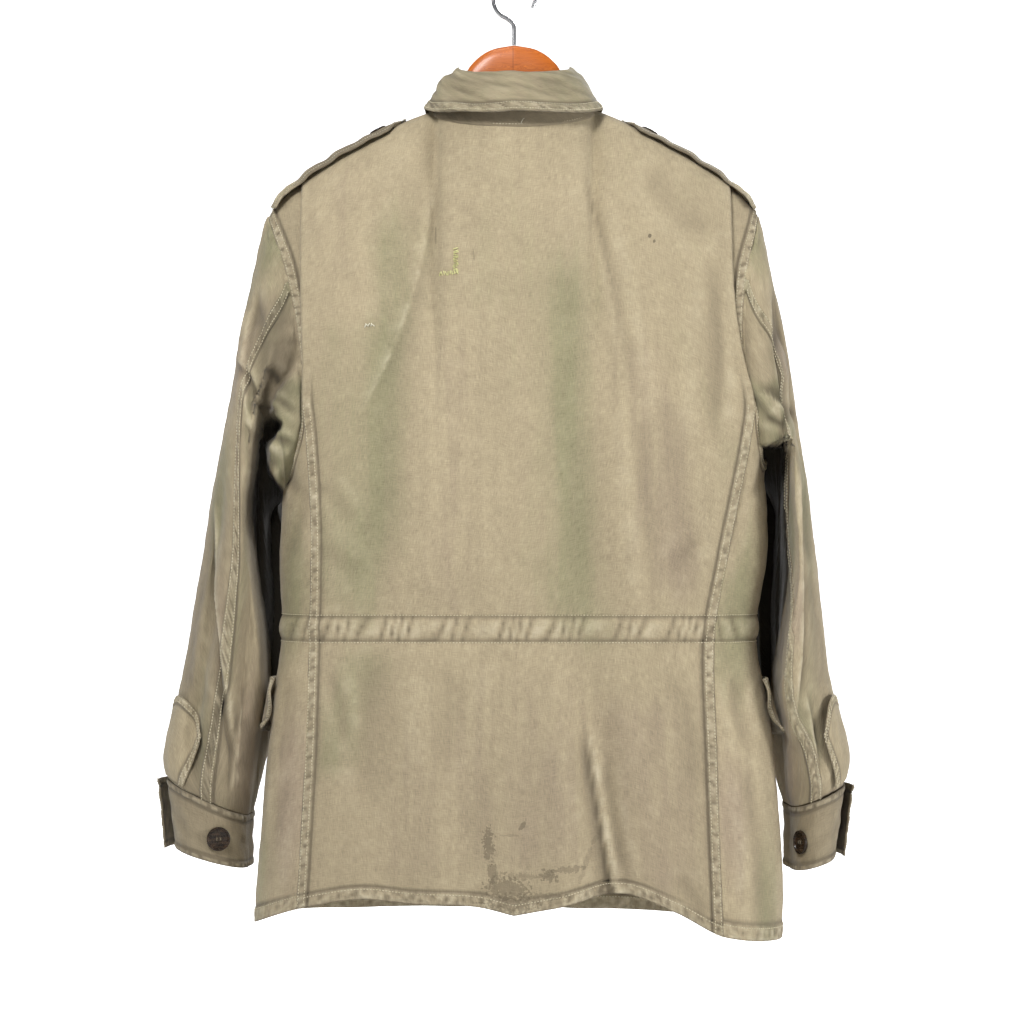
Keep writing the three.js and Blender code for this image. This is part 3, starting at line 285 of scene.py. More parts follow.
FRONT_FOLDS = [
    (0.9, 0.86, -915, -612, 0.035, 8),
    (0.72, 0.74, -915, -728, 0.045, 9),
    (0.55, 0.58, -915, -735, 0.04, 6),
    (0.76, 0.82, -612, -505, 0.04, 5),
]

# %% [markdown]
# ## Reading the tables
# Between the rows of a table the form must run smoothly, with no kink at a row. A cubic curve through the
# rows, with the slope at each row taken from its neighbours, does that, and numpy works it out for a whole
# grid at once.

# %% Helpers for curves
def read(table, key, at, column):
    keys, values = table[key], table[column]
    if keys[-1] < keys[0]:
        keys, values = keys[::-1], values[::-1]
    at = np.clip(at, keys[0], keys[-1])
    i = np.clip(np.searchsorted(keys, at, side="right") - 1, 0, len(keys) - 2)
    index = np.arange(len(keys))
    before, after = np.maximum(index - 1, 0), np.minimum(index + 1, len(keys) - 1)
    slopes = (values[after] - values[before]) / (keys[after] - keys[before])
    span = keys[i + 1] - keys[i]
    t = (at - keys[i]) / span
    return (
        values[i] * (1 + 2 * t) * (1 - t) ** 2
        + values[i + 1] * t * t * (3 - 2 * t)
        + slopes[i] * span * t * (1 - t) ** 2
        - slopes[i + 1] * span * t * t * (1 - t)
    )


def smooth(x, low, high):
    t = np.clip((x - low) / (high - low), 0, 1)
    return t * t * (3 - 2 * t)


def lerp(a, b, t):
    return a + (b - a) * t


def bezier(a, b, c, d, t):
    return a * (1 - t) ** 3 + 3 * b * t * (1 - t) ** 2 + 3 * c * t * t * (1 - t) + d * t**3


def points(x, y, z):
    return np.stack(np.broadcast_arrays(x, y, z), axis=-1).astype(float)


def unit(vectors):
    return vectors / np.maximum(np.linalg.norm(vectors, axis=-1, keepdims=True), 1e-9)


def trough(distance, at, start, end, width, depth):
    share = (at - start) / (end - start)
    ends = smooth(share, 0, 0.25) * (1 - smooth(share, 0.75, 1))
    if start < -900:  # a fold that starts at the hem runs out of it
        ends = 1 - smooth(share, 0.7, 1)
    return depth * ends * np.exp(-((distance / width) ** 2))


# %% [markdown]
# ## The body's form
# Each half of the body is a ring at every height: nearly flat behind and before, round at the side. Above
# the chest the cloth runs up to the shoulder seam, the armhole or the neck along one curve for each column
# of cloth.

# %% Rings of the body
def ring_at(side, z):
    half, radius = read(BODY, "z", z, side), read(BODY, "z", z, "side")
    back, front = read(BODY, "z", z, "back"), read(BODY, "z", z, "front")
    flat = half - radius
    crown = BACK_CROWN * (flat / half) ** 2
    bend = (math.pi / 2) * (radius + (back + front) / 2 - crown)
    return half, radius, back, front, flat, crown, bend, 2 * flat + bend


def back_depth(side, x, z):
    half, radius, back, _, flat, crown, _, _ = ring_at(side, z)
    round_part = (back - crown) * np.sqrt(np.maximum(0, 1 - ((x - flat) / radius) ** 2))
    return np.where(x < flat, back - BACK_CROWN * (x / half) ** 2, round_part)


def share_of_x(side, x, z):
    _, radius, _, _, flat, _, bend, length = ring_at(side, z)
    turned = math.pi / 2 - np.arccos(np.clip((x - flat) / radius, 0, 1))
    return np.where(x < flat, x, flat + bend * turned / math.pi) / length


def ring_point(side, share, z):
    half, radius, back, front, flat, crown, bend, length = ring_at(side, z)
    along = share * length
    turn = math.pi / 2 - math.pi * (along - flat) / bend
    x = np.where(along < flat, along, flat + radius * np.cos(turn))
    y = np.where(turn > 0, back - crown, front - crown) * np.sin(turn)
    y = np.where(along < flat, back - BACK_CROWN * (along / half) ** 2, y)
    beyond = along > flat + bend
    x = np.where(beyond, length - along, x)
    y = np.where(beyond, -front + BACK_CROWN * (x / half) ** 2, y)
    return points(SIGN[side] * x, y, z)


def with_hem(side, share, level):
    wave = read(HEM, "share", share, side) - HEM_LEVEL
    return level + wave * np.clip((HEM_FADE_LEVEL - level) / (HEM_FADE_LEVEL - HEM_LEVEL), 0, 1)


def rise_of(level):
    return (level - HEM_LEVEL) / (CHEST_LEVEL - HEM_LEVEL)


def level_of(rise):
    return lerp(HEM_LEVEL, CHEST_LEVEL, rise)


def shoulder_z(x):
    return read(SHOULDER, "x", x, "z")


def neck_point(side, around):
    turn = around * math.pi / 2
    behind, before = np.maximum(np.cos(turn), 0), np.maximum(-np.cos(turn), 0)
    y = SHOULDER_Y + (NECK_BACK_DEPTH - SHOULDER_Y) * behind - (NECK_FRONT_DEPTH + SHOULDER_Y) * before
    z = NECK_SIDE_Z - NECK_BACK_DROP * behind - NECK_FRONT_DROP * before**1.6
    return points(SIGN[side] * NECK_HALF_WIDTH * np.sin(turn), y, z)


# %% The back's surface
def back_folds(x, z):
    total = 0
    for x_low, x_high, start, end, width, depth in BACK_FOLDS:
        middle = lerp(x_low, x_high, np.clip((z - start) / (end - start), 0, 1))
        total = total + trough(x - middle, z, start, end, width, depth)
    return total


def half_back(side, u, rise):
    keep = 1 - smooth(u, 0.86, 0.97)
    level = level_of(np.minimum(rise, 1))
    rough_x = u * read(BACK_EDGE, "z", level, side)
    z_low = with_hem(side, share_of_x(side, rough_x, level), level)
    x_low = u * read(BACK_EDGE, "z", z_low, side)
    y_low = back_depth(side, x_low, z_low)
    t = np.maximum(rise - 1, 0)
    top_x = u * read(BACK_EDGE, "z", -185, side)
    neck = neck_point(side, (2 / math.pi) * np.arcsin(np.clip(top_x / NECK_HALF_WIDTH, 0, 1)))
    on_neck = top_x < NECK_HALF_WIDTH
    top_y = np.where(on_neck, neck[..., 1], SHOULDER_Y)
    top_z = np.where(on_neck, neck[..., 2], shoulder_z(top_x))
    outward = smooth(top_x, NECK_HALF_WIDTH * 0.5, NECK_HALF_WIDTH * 1.3)
    y0 = back_depth(side, u * read(BACK_EDGE, "z", CHEST_LEVEL, side), CHEST_LEVEL)
    height = top_z - CHEST_LEVEL
    z_up = bezier(CHEST_LEVEL, CHEST_LEVEL + 0.42 * height, top_z - lerp(45, 9, outward), top_z, t)
    y_up = bezier(y0, y0 + 3, top_y + lerp(8, 46, outward), top_y, t)
    x_up = lerp(u * read(BACK_EDGE, "z", z_up, side), top_x, smooth(t, 0.8, 1))
    low = rise <= 1
    x = SIGN[side] * np.where(low, x_low, x_up)
    z = np.where(low, z_low, z_up)
    return points(x, np.where(low, y_low, y_up) - keep * back_folds(x, z), z)


def back_surface(across, rise):
    left = half_back("left", np.abs(across), rise)
    right = half_back("right", np.abs(across), rise)
    return np.where((across < 0)[..., None], right, left)


def back_at_height(side, u, z):
    low, high = np.ones_like(z), 2 * np.ones_like(z)
    for _ in range(22):
        middle = (low + high) / 2
        below = half_back(side, u, middle)[..., 2] < z
        low, high = np.where(below, middle, low), np.where(below, high, middle)
    return half_back(side, u, low)


# %% The fronts' surface
def armhole_point(side, turn):
    hole = ARMHOLES[side]
    x, y, z = (read(hole, "turn", turn, name) for name in "xyz")
    return points(SIGN[side] * x, y, z)


def front_top(side, across):
    turn = lerp(JUNCTION_TURN, 360, np.clip(across / FRONT_TIP, 0, 1) ** 0.85)
    hole = ARMHOLES[side]
    top = armhole_point(side, turn)
    pull_y, pull_z = read(hole, "turn", turn, "pull_y"), read(hole, "turn", turn, "pull_z")
    share = np.clip((across - FRONT_TIP) / (FRONT_NECK - FRONT_TIP), 0, 1)
    x = lerp(hole["x"][0], NECK_HALF_WIDTH, share)
    ridge = points(SIGN[side] * x, SHOULDER_Y, shoulder_z(x))
    on_ridge = (across >= FRONT_TIP) & (across < FRONT_NECK)
    top = np.where(on_ridge[..., None], ridge, top)
    pull_y = np.where(on_ridge, lerp(-34, -30, share), pull_y)
    pull_z = np.where(on_ridge, -8, pull_z)
    share = np.maximum((across - FRONT_NECK) / (1 - FRONT_NECK), 0)
    on_neck = across >= FRONT_NECK
    top = np.where(on_neck[..., None], neck_point(side, 1 + share), top)
    pull_y = np.where(on_neck, lerp(-30, -5, share), pull_y)
    pull_z = np.where(on_neck, lerp(-8, -34, share), pull_z)
    return top, pull_y, pull_z


def ring_folded(side, share, z):
    p = ring_point(side, share, z)
    total = 0
    for low, high, start, end, width, depth in FRONT_FOLDS:
        middle = lerp(low, high, np.clip((z - start) / (end - start), 0, 1))
        total = total + trough(share - middle, z, start, end, width, depth)
    inward = unit(points(p[..., 0] * 0.35, p[..., 1], 0))
    return p - inward * np.asarray(total)[..., None]


def front_share(side, across, z):
    return lerp(share_of_x(side, read(BACK_EDGE, "z", z, side), z), 1, across)


def front_surface(side):
    def surface(across, rise):
        level = level_of(np.minimum(rise, 1))
        z = with_hem(side, front_share(side, across, level), level)
        low = ring_folded(side, front_share(side, across, z), z)
        t = np.maximum(rise - 1, 0)
        chest = np.full_like(z, CHEST_LEVEL)
        base = ring_folded(side, front_share(side, across, chest), chest)
        top, pull_y, pull_z = front_top(side, across)
        height = top[..., 2] - base[..., 2]
        reach = np.minimum(1, height / 120)
        up = points(
            bezier(base[..., 0], base[..., 0], top[..., 0], top[..., 0], t),
            bezier(base[..., 1], base[..., 1], top[..., 1] + pull_y * reach, top[..., 1], t),
            bezier(base[..., 2], base[..., 2] + 0.4 * height, top[..., 2] + pull_z * reach, top[..., 2], t),
        )
        near = 1 - smooth(across, 0, 0.16)
        edge = back_at_height(side, np.ones_like(z), up[..., 2])
        own_low = half_back(side, np.ones_like(z), np.ones_like(z))
        own_top = armhole_point(side, np.full_like(z, JUNCTION_TURN))
        own = [bezier(own_low[..., i], own_low[..., i], own_top[..., i], own_top[..., i], t) for i in (0, 1)]
        seam_x = SIGN[side] * read(BACK_EDGE, "z", up[..., 2], side)
        up[..., 0] += near * (seam_x - own[0])
        up[..., 1] += near * (edge[..., 1] - own[1])
        return np.where((rise <= 1)[..., None], low, up)

    return surface


# %% The under layer of a back pleat
def pleat_surface(side):
    def surface(across, rise):
        outer = armhole_point(side, lerp(JUNCTION_TURN - 4, 0, rise))
        outer[..., 1] += 2 * smooth(rise, 0.8, 1)
        top_x = float(read(BACK_EDGE, "z", -185, side)) - PLEAT_UNDER
        level = smooth(rise, 0.6, 0.95)
        z = lerp(outer[..., 2], shoulder_z(top_x) - PLEAT_LAYER, smooth(rise, 0.55, 1))
        under = PLEAT_UNDER * smooth(rise, 0, 0.15)
        edge = back_at_height(side, np.ones_like(z), np.minimum(z, -195))
        hidden = back_at_height(side, 1 - under / np.abs(edge[..., 0]), z + PLEAT_LAYER * level)
        inner = points(hidden[..., 0], hidden[..., 1] - PLEAT_LAYER * (1 - level), z)
        p = lerp(inner, outer, across[..., None])
        ends = shoulder_z(np.abs(inner[..., 0])), shoulder_z(np.abs(outer[..., 0]))
        bow = shoulder_z(np.abs(p[..., 0])) - lerp(ends[0], ends[1], across)
        below = PLEAT_LAYER * np.maximum(0, across - smooth(np.abs(p[..., 0]), 203, 213))
        p[..., 2] += (bow - below) * smooth(rise, 0.5, 0.95)
        p[..., 1] -= 3 * np.sin(math.pi * across) * (1 - rise)
        return p

    return surface


# %% Sleeves and cuffs
def power(value, exponent):
    return np.sign(value) * np.abs(value) ** exponent


def tube_point(side, row, turn):
    angle = np.radians(turn)
    out, rear = power(np.cos(angle), 2 / SLEEVE_BULGE), power(np.sin(angle), 2 / SLEEVE_BULGE)
    return points(
        SIGN[side] * ((row["x_outer"] + row["x_inner"]) / 2 + (row["x_outer"] - row["x_inner"]) / 2 * out),
        row["y"] + row["depth"] * rear,
        (row["z_outer"] + row["z_inner"]) / 2 + (row["z_outer"] - row["z_inner"]) / 2 * out,
    )


def sleeve_row(side, v):
    names = ["x_outer", "z_outer", "x_inner", "z_inner", "y", "depth"]
    return {name: read(SLEEVES[side], "v", v, name) for name in names}


def swing(turn):
    angle = np.radians(turn)
    return np.maximum(0, -np.sin(angle)) * (1 - np.cos(angle)) * 0.5


def sleeve_centre(side, row, z):
    return points(SIGN[side] * (row["x_outer"] + row["x_inner"]) / 2, row["y"], z)


def sleeve_point(side, turn, v):
    wrapped = np.mod(turn, 360)
    row = sleeve_row(side, v)
    p = tube_point(side, row, turn)
    head = (1 - smooth(v, 0, 0.3)) ** 2
    seam = armhole_point(side, wrapped) + np.array([SIGN[side] * SLEEVE_OFFSET, 0, 0])
    p = p + (seam - tube_point(side, sleeve_row(side, np.zeros_like(v)), turn)) * head[..., None]
    p[..., 0] -= (
        SIGN[side] * SLEEVE_TUCK * swing(wrapped)
        * smooth(v, 0.08, 0.32) * (1 - 0.6 * smooth(v, 0.7, 1))
    )
    sunk = 0
    for middle, drift, start, end, width, depth in SLEEVE_FOLDS[side]:
        away = np.mod(wrapped - middle - drift * (v - start) / (end - start) + 540, 360) - 180
        sunk = sunk + trough(away, v, start, end, width, depth)
    inward = unit(sleeve_centre(side, row, p[..., 2]) - p)
    return p + inward * np.minimum(sunk, 16)[..., None]


CUFF_START, CUFF_STOP, CUFF_LAP, CUFF_KICK, CUFF_SEAM = -38, 374, 3.4, 6, 1.2
CUFF_END = {
    "left": dict(x_outer=326, z_outer=-830, x_inner=257, z_inner=-850, y=-18, depth=48),
    "right": dict(x_outer=309, z_outer=-838, x_inner=268, z_inner=-852, y=-22, depth=55),
}


def cuff_surface(side):
    def surface(turn, v):
        top = sleeve_row(side, 1.0)
        row = {name: lerp(top[name], CUFF_END[side][name], v) for name in top}
        row["z_outer"] = row["z_outer"] - CUFF_SEAM
        row["z_inner"] = row["z_inner"] - CUFF_SEAM
        out = CUFF_LAP * smooth(turn, CUFF_START + 300, CUFF_START + 350)
        out = out + CUFF_KICK * smooth(turn, CUFF_STOP - 34, CUFF_STOP) ** 2
        p = tube_point(side, row, turn)
        p[..., 0] -= SIGN[side] * SLEEVE_TUCK * 0.4 * swing(turn)
        return p + unit(p - sleeve_centre(side, row, p[..., 2])) * out[..., None]

    return surface


VENT_FROM, VENT_TO, VENT_LEAN, VENT_TOP, VENT_ARCH, VENT_OFFSET, VENT_PUFF = -22, 64, 16, 0.79, 0.05, 2.3, 1.2


def vent_surface(side):
    def surface(across, v):
        turn = lerp(VENT_FROM, VENT_TO, across) + VENT_LEAN * (1 - v)
        at = lerp(VENT_TOP + VENT_ARCH * (2 * across - 1) ** 2, 0.985, v)
        p = sleeve_point(side, turn, at)
        out = unit(p - sleeve_centre(side, sleeve_row(side, at), p[..., 2]))
        puff = VENT_PUFF * np.sin(math.pi * across) * np.sin(math.pi * np.clip(v, 0, 1))
        return p + out * (VENT_OFFSET + puff)[..., None]

    return surface


# %% Collar, front overlap, shoulder straps and flaps
COLLAR_GAP = 0.1


def stand_surface(around, v):
    share = 2 * np.abs(around) * (1 - COLLAR_GAP / 2)
    base = np.where((around < 0)[..., None], neck_point("right", share), neck_point("left", share))
    lift = COLLAR_HEIGHT * lerp(0.7, 1, 1 - np.abs(around))
    foot = base + np.array([0, 0, 2.7])
    top = points(base[..., 0] * 0.76, base[..., 1] * 0.8, base[..., 2] + lift)
    return lerp(foot, top, v[..., None])


def fall_surface(around, v):
    stand = stand_surface(around, np.ones_like(v))
    out = unit(points(stand[..., 0] * 1.2, stand[..., 1], 0))
    to_front = smooth(np.abs(around), 0.55, 1)
    fold = stand + np.array([0, 0, 1.2]) + out * 0.6
    edge = stand + out * lerp(27, 30, to_front)[..., None]
    edge = points(edge[..., 0] * 1.02, edge[..., 1], edge[..., 2] + 1 - lerp(40, 52, to_front))
    over = fold + out * 6 + np.array([0, 0, 1.5])
    return np.stack(
        [bezier(fold[..., i], over[..., i], lerp(over[..., i], edge[..., i], 0.6), edge[..., i], v)
         for i in range(3)],
        axis=-1,
    )


PLACKET_LEFT, PLACKET_RIGHT, PLACKET_LIFT = 27, 24, 2.7


def placket_surface(across, rise):
    x = np.where(across < 0, across * PLACKET_RIGHT, across * PLACKET_LEFT)
    share = 1 - np.abs(x) / lerp(420, 640, smooth(rise, 1, 2))
    left, right = front_surface("left")(share, rise), front_surface("right")(share, rise)
    return np.where((x < 0)[..., None], right, left) - np.array([0, PLACKET_LIFT, 0])


STRAP = dict(outer=230, inner=103, half=22, point=20, forward=-6, saddle=170, curl=6)
STRAP_LIFT = {"left": 4.6, "right": 3.3}
STRAP_TILT = {"left": -0.02, "right": 0.06}


def strap_surface(side):
    def surface(across, along):
        x = lerp(STRAP["outer"], STRAP["inner"], along)
        off = across * STRAP["half"] * np.clip((x - STRAP["inner"] + 2) / STRAP["point"], 0.08, 1)
        slope = (shoulder_z(x + 1) - shoulder_z(x - 1)) / 2
        up = unit(points(-slope * SIGN[side], 0, 1))
        lift = STRAP_LIFT[side] - 0.4 * STRAP["curl"] * smooth(along, 0.82, 1) ** 2
        lift = lift - off**2 / np.where(off > 0, 80, STRAP["saddle"]) + STRAP_TILT[side] * off
        return (
            points(SIGN[side] * x, SHOULDER_Y + STRAP["forward"] + off, shoulder_z(x))
            + up * lift[..., None]
        )

    return surface


FLAP = dict(top=-668, height=56, rear=0.45, front=0.8, lift=5)
FLAP_FLARE = {"left": 2.4, "right": 5}


def flap_surface(side):
    def surface(across, v):
        share = lerp(FLAP["rear"], FLAP["front"], across)
        level = FLAP["top"] - FLAP["height"] * (1 - 0.16 * (2 * across - 1) ** 2 * v) * v
        p = ring_folded(side, share, with_hem(side, share, level))
        ends = 1 + 0.7 * (1 - smooth(across, 0, 0.3))
        out = unit(points(p[..., 0] * 0.8, p[..., 1], 0))
        return p + out * (FLAP["lift"] + FLAP_FLARE[side] * v * v * ends)[..., None]

    return surface

# %% [markdown]
# ## From a surface to cloth
# Each piece of cloth is a grid of columns and rows on its surface. The grid is finest where a seam, a hem
# or the waist channel needs it. Relief is added along the grid's normals, in millimetres, and then the grid
# becomes a thin closed shell: an outer face, an inner face and a rim. Width and height measured along the
# cloth become its UV map, so the weave keeps its true size, and its edges are known, so seams and stitches
# can be set back from them.

# %% Grid lines, finer near some places
def grade(start, end, step, fine=()):
    """Positions from start to end, step apart, or closer within each (place, reach, step) of fine."""
    line = [start]
    while line[-1] < end - step * 0.3:
        here = line[-1]
        near = [close for place, reach, close in fine if abs(here + step / 2 - place) < reach]
        line.append(here + min([step, *near]))
    line[-1] = end
    return np.array(line)


def blurred(field, times):
    for _ in range(times):
        padded = np.pad(field, 1, mode="edge")
        field = (padded[:-2, 1:-1] + padded[2:, 1:-1] + padded[1:-1, :-2] + padded[1:-1, 2:] + field) / 5
    return field


def ripples(a, b, length, seed, waves=7):
    """Gentle uneven waves about 1 high, a length apart, over the two coordinates."""
    chance = np.random.default_rng(seed)
    total = 0
    for _ in range(waves):
        turn, phase = chance.uniform(0, math.pi), chance.uniform(0, 2 * math.pi)
        wave = length * chance.uniform(0.7, 1.6)
        total = total + np.sin((a * math.cos(turn) + b * math.sin(turn)) * 2 * math.pi / wave + phase)
    return total / math.sqrt(waves)


# %% The cloth panel
class Panel:
    """One piece of cloth. Its relief is in millimetres along the outward normal."""

    def __init__(self, name, surface, across, up, outward, wall=1.1):
        self.name, self.wall = name, wall
        self.u, self.v = np.meshgrid(across, up)
        self.middle = surface(self.u, self.v)
        normal = unit(np.cross(np.gradient(self.middle, axis=1), np.gradient(self.middle, axis=0)))
        self.normal = normal * np.sign((normal * outward(self.middle)).sum(axis=-1).mean())
        self.before_folding = self.middle
        self.width = self.measured(1)
        self.height = self.measured(0)
        self.relief = np.zeros(self.u.shape)
        self.green = np.zeros(self.u.shape)
        self.grime_and_shade = np.zeros(self.u.shape)
        self.worn = np.zeros(self.u.shape)
        self.seam = np.zeros(self.u.shape)

    def measured(self, axis):
        steps = np.linalg.norm(np.diff(self.middle, axis=axis), axis=-1)
        before = [(0, 0), (0, 0)]
        before[axis] = (1, 0)
        return np.pad(np.cumsum(steps, axis=axis), before)

    def inset(self, edge):
        """How far each point lies from an edge, along the cloth."""
        if edge == "left":
            return self.width
        if edge == "right":
            return self.width[:, -1:] - self.width
        return self.height if edge == "bottom" else self.height[-1:] - self.height

    @property
    def x(self):
        return self.middle[..., 0]

    @property
    def z(self):
        return self.middle[..., 2]

    def outer(self, lift=0.0):
        return self.middle + self.normal * (self.relief + self.wall / 2 + lift)[..., None]


def cut_size(grid):
    """The flat width, length and area of the cloth over a grid of points, in metres."""
    wide = np.linalg.norm(np.diff(grid, axis=1), axis=-1).sum(axis=1).max() * MM
    long = np.linalg.norm(np.diff(grid, axis=0), axis=-1).sum(axis=0).max() * MM
    a, b = grid[1:, 1:] - grid[:-1, :-1], grid[1:, :-1] - grid[:-1, 1:]
    area = np.linalg.norm(np.cross(a, b), axis=-1).sum() / 2 * MM**2
    return float(wide), float(long), float(min(area, wide * long))


# %% Reliefs that several panels share
def add_band(panel, edge, width=10, rise=0.9, where=1.0):
    """A felled seam or hem: layers of cloth folded along an edge, a little proud, with a worn ridge."""
    inset = panel.inset(edge)
    along = panel.width if edge in ("top", "bottom") else panel.height
    band = 1 - smooth(inset, width - 0.7, width + 0.7)
    rounded = 1 - 0.5 * np.exp(-((inset / 1.2) ** 2))
    across = np.exp(-(((inset - width / 2) / (width / 2.6)) ** 2))
    ribs = ripples(along, inset * 0.4, 6.5, 5) * across
    panel.relief += where * (band * rise * rounded + 0.48 * ribs)
    beside = np.exp(-(((inset - width - 1.2) / 1.4) ** 2))
    panel.relief -= where * 0.35 * beside
    # Painted shade: a dark line beside the band, in the ribs' valleys and along the very edge, and a little
    # darker over the band.
    panel.grime_and_shade += where * (
        1.15 * beside + 0.12 * band + 0.5 * np.clip(-ribs, 0, 1) + 0.5 * np.exp(-((inset / 0.9) ** 2))
    )
    panel.worn += where * (
        0.4 * np.exp(-(((inset - 2) / 1.5) ** 2)) + band * 0.2 + 0.35 * np.clip(ribs, 0, 1)
    )
    panel.seam = np.maximum(panel.seam, where * band)


def add_creases(panel, table, behind=True):
    """Creases placed one by one: each a valley along a bowed upright line, with soft ridges beside it."""
    seen = smooth(panel.normal[..., 1] * (1 if behind else -1), 0.02, 0.3)
    for x0, z0, x1, z1, width, depth, bow, skew in table:
        along = np.array([x1 - x0, z1 - z0], float)
        length = np.hypot(*along)
        along /= length
        t = ((panel.x - x0) * along[0] + (panel.z - z0) * along[1]) / length
        away = (panel.x - x0) * along[1] - (panel.z - z0) * along[0] - bow * 4 * t * (1 - t)
        ends = smooth(t, -0.05, 0.22) * (1 - smooth(t, 0.72, 1.05))
        near = np.where(away > 0, width * skew, width / skew)
        valley = np.exp(-((away / near) ** 2))
        ridge = np.exp(-(((np.abs(away) - 2.1 * near) / near) ** 2))
        panel.relief -= seen * ends * depth * (valley - 0.3 * ridge)
        # Painted shade in each crease's valley.
        panel.grime_and_shade += seen * ends * min(depth, 3) * 0.1 * valley


def add_folds(panel, table, behind=True):
    """Sharp folds: the cloth steps down past a line with a worn edge, and comes back up slowly."""
    seen = smooth(panel.normal[..., 1] * (1 if behind else -1), 0.02, 0.3)
    for x0, z0, x1, z1, width, depth, bow in table:
        along = np.array([x1 - x0, z1 - z0], float)
        length = np.hypot(*along)
        along /= length
        t = ((panel.x - x0) * along[0] + (panel.z - z0) * along[1]) / length
        away = (panel.x - x0) * along[1] - (panel.z - z0) * along[0] - bow * 4 * t * (1 - t)
        away = away * np.sign(width)
        ends = smooth(t, -0.08, 0.2) * (1 - smooth(t, 0.8, 1.08))
        low = smooth(away, -1.2, 2.6) * np.exp(-np.maximum(away, 0) / abs(width))
        lip = np.exp(-((away + 4) ** 2) / 30)
        panel.relief += seen * ends * depth * (0.22 * lip - low)
        # Painted shade on the low side of each fold.
        panel.grime_and_shade += seen * ends * min(depth, 8) * 0.1 * low
        panel.worn += seen * ends * 0.42 * np.exp(-((away + 1) ** 2) / 3)


def add_crumple(panel, seed, coarse=1.0, fine=0.22, upright=2.2):
    """The uneven hang of washed cotton: long upright waves and a small crumple."""
    panel.relief += coarse * 0.5 * ripples(panel.width, panel.height / upright, 60, seed)
    panel.relief += fine * 0.5 * ripples(panel.width, panel.height, 17, seed + 1, waves=9)


# %% [markdown]
# ## From panels to objects
# A panel becomes a mesh once its relief is complete. What stands proud of its surroundings rubs and fades,
# and what lies low keeps its dye and is painted darker, as shade: the difference between the relief and a
# blurred copy of it tells which is which, and goes to the material as an attribute. The size of each shell's
# cut is measured on its grid before the relief and the hollows are put in, and printed.

# %% Making a shell
def shell_faces(rows, cols):
    index = np.arange(rows * cols).reshape(rows, cols)
    a, b, c, d = index[:-1, :-1], index[:-1, 1:], index[1:, 1:], index[1:, :-1]
    outer = np.stack([a, b, c, d], axis=-1).reshape(-1, 4)
    inner = outer[:, ::-1] + rows * cols
    rim = np.concatenate([index[0], index[1:, -1], index[-1, -2::-1], index[-2:0:-1, 0]])
    after = np.roll(rim, -1)
    walls = np.stack([after, rim, rim + rows * cols, after + rows * cols], axis=-1)
    return np.concatenate([outer, inner, walls])


def mesh_object(name, corners, faces, material, smooth_shaded=True):
    mesh = bpy.data.meshes.new(name)
    mesh.from_pydata(np.asarray(corners).tolist(), [], [list(map(int, f)) for f in faces])
    mesh.polygons.foreach_set("use_smooth", [smooth_shaded] * len(mesh.polygons))
    mesh.materials.append(material)
    made = bpy.data.objects.new(name, mesh)
    bpy.context.collection.objects.link(made)
    return made


def sew(panel, material, replaces):
    rows, cols = panel.u.shape
    # Ridges go pale with wear; low places are painted darker as shade.
    cavity = panel.relief - blurred(panel.relief, 14)
    panel.worn = np.clip(panel.worn + cavity * 0.5, 0, 1)
    panel.grime_and_shade = np.clip(panel.grime_and_shade - cavity * 0.35, 0, 4)
    outer = panel.outer()
    corners = np.concatenate([outer.reshape(-1, 3), (outer - panel.normal * panel.wall).reshape(-1, 3)]) * MM
    faces = shell_faces(rows, cols)
    a, b, c = (corners[faces[: (rows - 1) * (cols - 1), i]] for i in (0, 1, 2))
    sign = (np.cross(b - a, c - a) * panel.normal[:-1, :-1].reshape(-1, 3)).sum()
    if sign < 0:
        faces = faces[:, ::-1]
    made = mesh_object(panel.name, corners, faces, material)
    mesh = made.data
    for label in ("green", "grime_and_shade", "worn", "seam"):
        field = getattr(panel, label).ravel()
        mesh.attributes.new(label, "FLOAT", "POINT").data.foreach_set("value", np.concatenate([field, field]))
    place = np.stack([panel.width, panel.height], axis=-1).reshape(-1, 2) * MM
    corner_of = np.empty(len(mesh.loops), np.int32)
    mesh.loops.foreach_get("vertex_index", corner_of)
    flat = np.concatenate([place, place])[corner_of]
    mesh.uv_layers.new(name="cloth").data.foreach_set("uv", flat.ravel())
    mesh.validate()
    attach(made, "root")
    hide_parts(*replaces)
    wide, long, area = cut_size(panel.before_folding)
    print(panel.name, f"{wide:.3f} x {long:.3f} m,", len(mesh.polygons) * 2, "triangles")
    return made

# %% [markdown]
# ## Writing materials
# A material is a tree of nodes. Two short helpers keep the trees readable: one adds a node and links or
# sets its inputs, the other does sums. What several materials share, such as the weave, is a node group
# built once.

